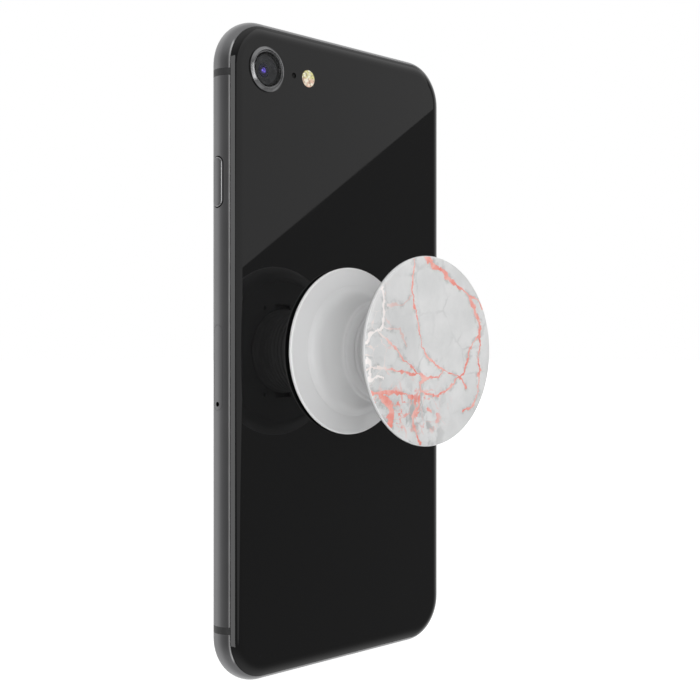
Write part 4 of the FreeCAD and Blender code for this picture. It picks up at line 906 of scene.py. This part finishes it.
def camera_barrel_piece():
    """The lens barrel, stepped down towards the front lens."""
    low, top = (above_glass(corner.y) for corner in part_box("camera_lens_barrel"))
    corners = [(0, low, 0), (3.2, low, 0), (3.2, top - 0.25, 0.05), (3.05, top, 0.05), (2.85, top, 0.04),
               (2.8, top - 0.12, 0.03)]
    baffles = 4
    for k in range(baffles):
        radius = 2.72 - 0.27 * k
        sink = top - 0.16 - 0.14 * k
        corners += [(radius, sink, 0.02), (radius - 0.14, sink, 0.02), (radius - 0.17, sink - 0.11, 0.02)]
    corners += [(1.5, top - 0.75, 0), (1.35, top - 0.83, 0), (0, top - 0.83, 0)]
    add_turned("camera_barrel_turned", corners, camera_axis(), "camera_lens_barrel",
               "camera_lens_barrel", "lens_black")


def camera_lens_piece():
    """The domed front lens on its seat."""
    seat, reach, crown = above_glass(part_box("camera_lens_barrel")[1].y) - 0.80, 0.82, 0.36
    sphere = (reach ** 2 + crown ** 2) / (2 * crown)
    dome = [(0, seat), (1.46, seat), (1.46, seat + 0.06), (reach + 0.1, seat + 0.10)]
    slices = 14
    for k in range(slices, -1, -1):
        radius = reach * k / slices
        dome.append((radius, seat + 0.10 + crown - (sphere - math.sqrt(sphere ** 2 - radius ** 2))))
    mesh = turned("camera_lens_domed", [Vector(p) * MM for p in dome], camera_axis())
    add_piece("camera_lens_domed", mesh, "camera_lens_barrel", ["camera_front_lens"], "coating")


def leaf_mesh(name, outline, front_y, back_y):
    """A closed plate with that (x, z) outline, between two places along Y."""
    bm = bmesh.new()
    ends = [[bm.verts.new((x, y, z)) for x, z in outline] for y in (front_y, back_y)]
    for k in range(len(outline)):
        n = (k + 1) % len(outline)
        bm.faces.new((ends[0][k], ends[0][n], ends[1][n], ends[1][k]))
    bm.faces.new(ends[0])
    bm.faces.new(list(reversed(ends[1])))
    return mesh_from(bm, name)


def spring_leaves():
    """The haptic motor's two leaf springs, which flatten towards their walls as its weight moves."""
    weight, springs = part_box("haptic_weight"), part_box("haptic_springs")
    low, high = springs[0].z, springs[1].z
    for name, side in (("haptic_spring_left", -1), ("haptic_spring_right", 1)):
        wall_x = springs[1].x if side > 0 else springs[0].x
        weight_x = (weight[1].x if side > 0 else weight[0].x) + side * 0.01 * MM
        outline = [
            (wall_x, low), (wall_x, low + LEAF), (weight_x + side * LEAF, high - LEAF),
            (weight_x + side * LEAF, high), (weight_x, high), (weight_x, high - 2 * LEAF),
            (wall_x - side * LEAF, low),
        ]
        mesh = leaf_mesh(name, outline, springs[0].y, springs[1].y)
        piece = add_piece(name, mesh, "phone", ["haptic_springs"] if side < 0 else (), "steel")
        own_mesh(piece)


# Stage, light and camera

CAMERA_PLACE = Vector((188.5, 194.6, 0.4)) * MM
CAMERA_HEADING = math.radians(45.4)
FOCAL_LENGTH = 61.16
DIM_LEVEL = 0.20


def add_camera():
    """The camera, level with the phone's middle and half way round from its back to its side."""
    data = bpy.data.cameras.new("camera")
    data.sensor_width = 36.0
    data.lens = FOCAL_LENGTH
    data.clip_start = 0.01
    data.clip_end = 20
    camera = bpy.data.objects.new("camera", data)
    bpy.context.scene.collection.objects.link(camera)
    camera.location = CAMERA_PLACE
    away = Vector((-math.sin(CAMERA_HEADING), -math.cos(CAMERA_HEADING), -0.0006))
    camera.rotation_mode = "QUATERNION"
    camera.rotation_quaternion = away.to_track_quat("-Z", "Y")
    bpy.context.scene.camera = camera


def towards(azimuth, elevation=0.0):
    """A direction, with azimuth in degrees from +X towards +Y."""
    a, e = math.radians(azimuth), math.radians(elevation)
    return Vector((math.cos(a) * math.cos(e), math.sin(a) * math.cos(e), math.sin(e)))


def soft_light(name, place, width, height, radiance, target=Vector((0, 0.01, 0)), upright=None):
    """A plain rectangular soft light of that radiance, facing the target."""
    data = bpy.data.lights.new(name, "AREA")
    data.shape = "RECTANGLE"
    data.size = width
    data.size_y = height
    data.energy = radiance * math.pi * width * height
    light = bpy.data.objects.new(name, data)
    bpy.context.scene.collection.objects.link(light)
    light.location = place
    back = (place - target).normalized()
    side = (upright or Vector((0, 0, 1))).cross(back).normalized()
    up = back.cross(side)
    light.rotation_mode = "QUATERNION"
    light.rotation_quaternion = Matrix((side, up, back)).transposed().to_quaternion()
    light.visible_camera = False
    return light


def reflected_card():
    """A dim card whose edge shows in the rear glass as a slanting line between two of its points."""
    seen_from = Vector((CAMERA_PLACE.x, 2 * BACK_Y - CAMERA_PLACE.y, CAMERA_PLACE.z))
    edge_high = Vector((-28.0, BACK_Y / MM, 57.0)) * MM
    edge_low = Vector((32.5, BACK_Y / MM, 15.5)) * MM
    facing = towards(135)
    distance, width, height = 0.7, 1.6, 0.7
    ends = []
    for point in (edge_high, edge_low):
        ray = point - seen_from
        ends.append(seen_from + ray * ((distance - seen_from.dot(facing)) / ray.dot(facing)))
    along = (ends[0] - ends[1]).normalized()
    side = along.cross(facing).normalized()
    if side.z < 0:
        side = -side
    centre = (ends[0] + ends[1]) / 2 + side * height / 2
    soft_light("card", centre, width, height, radiance=0.45, target=centre - facing, upright=side)


def add_lights():
    """A tall key light beside the camera, a fill with no highlights, and the card in the glass."""
    soft_light("key", place=towards(62) * 0.75, width=0.30, height=0.75, radiance=2.4)
    fill = soft_light("fill", place=towards(54, -7) * 0.80, width=0.70, height=0.90, radiance=2.30)
    fill.visible_glossy = False
    reflected_card()


def add_surround():
    """A surround that the camera sees as white.

    It lights the object from the screen's side, the far side and both ends, and is dim where the rear
    glass looks.
    """
    world = bpy.data.worlds.new("studio")
    bpy.context.scene.world = world
    world.use_nodes = True
    tree = world.node_tree
    background = tree.nodes["Background"]
    place = tree.nodes.new("ShaderNodeTexCoord")
    path = tree.nodes.new("ShaderNodeLightPath")

    def lobe(direction, low, high, level):
        """Light that grows from nothing to its level as the direction nears the lobe's own."""
        near = tree.nodes.new("ShaderNodeVectorMath")
        near.operation = "DOT_PRODUCT"
        near.inputs[1].default_value = direction
        tree.links.new(place.outputs["Generated"], near.inputs[0])
        fall = tree.nodes.new("ShaderNodeMapRange")
        fall.interpolation_type = "SMOOTHSTEP"
        for index, number in enumerate((low, high, 0.0, level), start=1):
            fall.inputs[index].default_value = number
        tree.links.new(near.outputs["Value"], fall.inputs[0])
        return fall.outputs[0]

    def total(a, b):
        node = tree.nodes.new("ShaderNodeMath")
        for socket, value in zip(node.inputs, (a, b)):
            if isinstance(value, float):
                socket.default_value = value
            else:
                tree.links.new(value, socket)
        return node.outputs[0]

    above = lobe(Vector((0, 0, 1)), low=0.30, high=0.95, level=0.55)
    below = lobe(Vector((0, 0, -1)), low=0.30, high=0.95, level=0.45)
    front = lobe(towards(-100, -5), low=0.05, high=0.75, level=0.62)
    front_side = lobe(towards(-30), low=0.55, high=1.0, level=0.16)
    far_side = lobe(towards(-168), low=0.70, high=0.97, level=0.6)
    level = total(total(total(front, front_side), far_side), total(above, below))
    shown = tree.nodes.new("ShaderNodeMix")
    tree.links.new(path.outputs["Is Camera Ray"], shown.inputs[0])
    tree.links.new(total(level, DIM_LEVEL), shown.inputs[2])
    shown.inputs[3].default_value = 1.0
    tree.links.new(shown.outputs[0], background.inputs["Strength"])
    background.inputs["Color"].default_value = (1, 1, 1, 1)


def add_floor():
    """A plain pale floor that glows as bright as the white surround, so that no edge shows between them."""
    bpy.ops.mesh.primitive_plane_add(size=12, location=(0, 0, FLOOR_Z))
    floor = bpy.context.object
    floor.name = "floor"
    m = Shader("floor", Roughness=0.9, Emission_Strength=1.0, Specular_IOR_Level=0.0)
    m.set("Emission_Color", (1.0, 1.0, 1.0))
    m.varied((0.30, 0.30, 0.30), (0.31, 0.31, 0.31), 0.3)
    floor.data.materials.append(m.material)
    floor.visible_glossy = False
    floor.visible_diffuse = False


add_camera()
paint_frame()
grip_base_piece()
grip_neck_piece()
grip_top_pieces()
grip_pad_piece()
side_cap("side_button_cap", "side_button", "side_button")
side_cap("volume_up_cap", "volume_up_button", "volume_up_button")
side_cap("volume_down_cap", "volume_down_button", "volume_down_button")
camera_ring_piece()
camera_barrel_piece()
camera_lens_piece()
spring_leaves()
add_lights()
add_surround()
add_floor()
bpy.context.scene.view_settings.view_transform = "Standard"
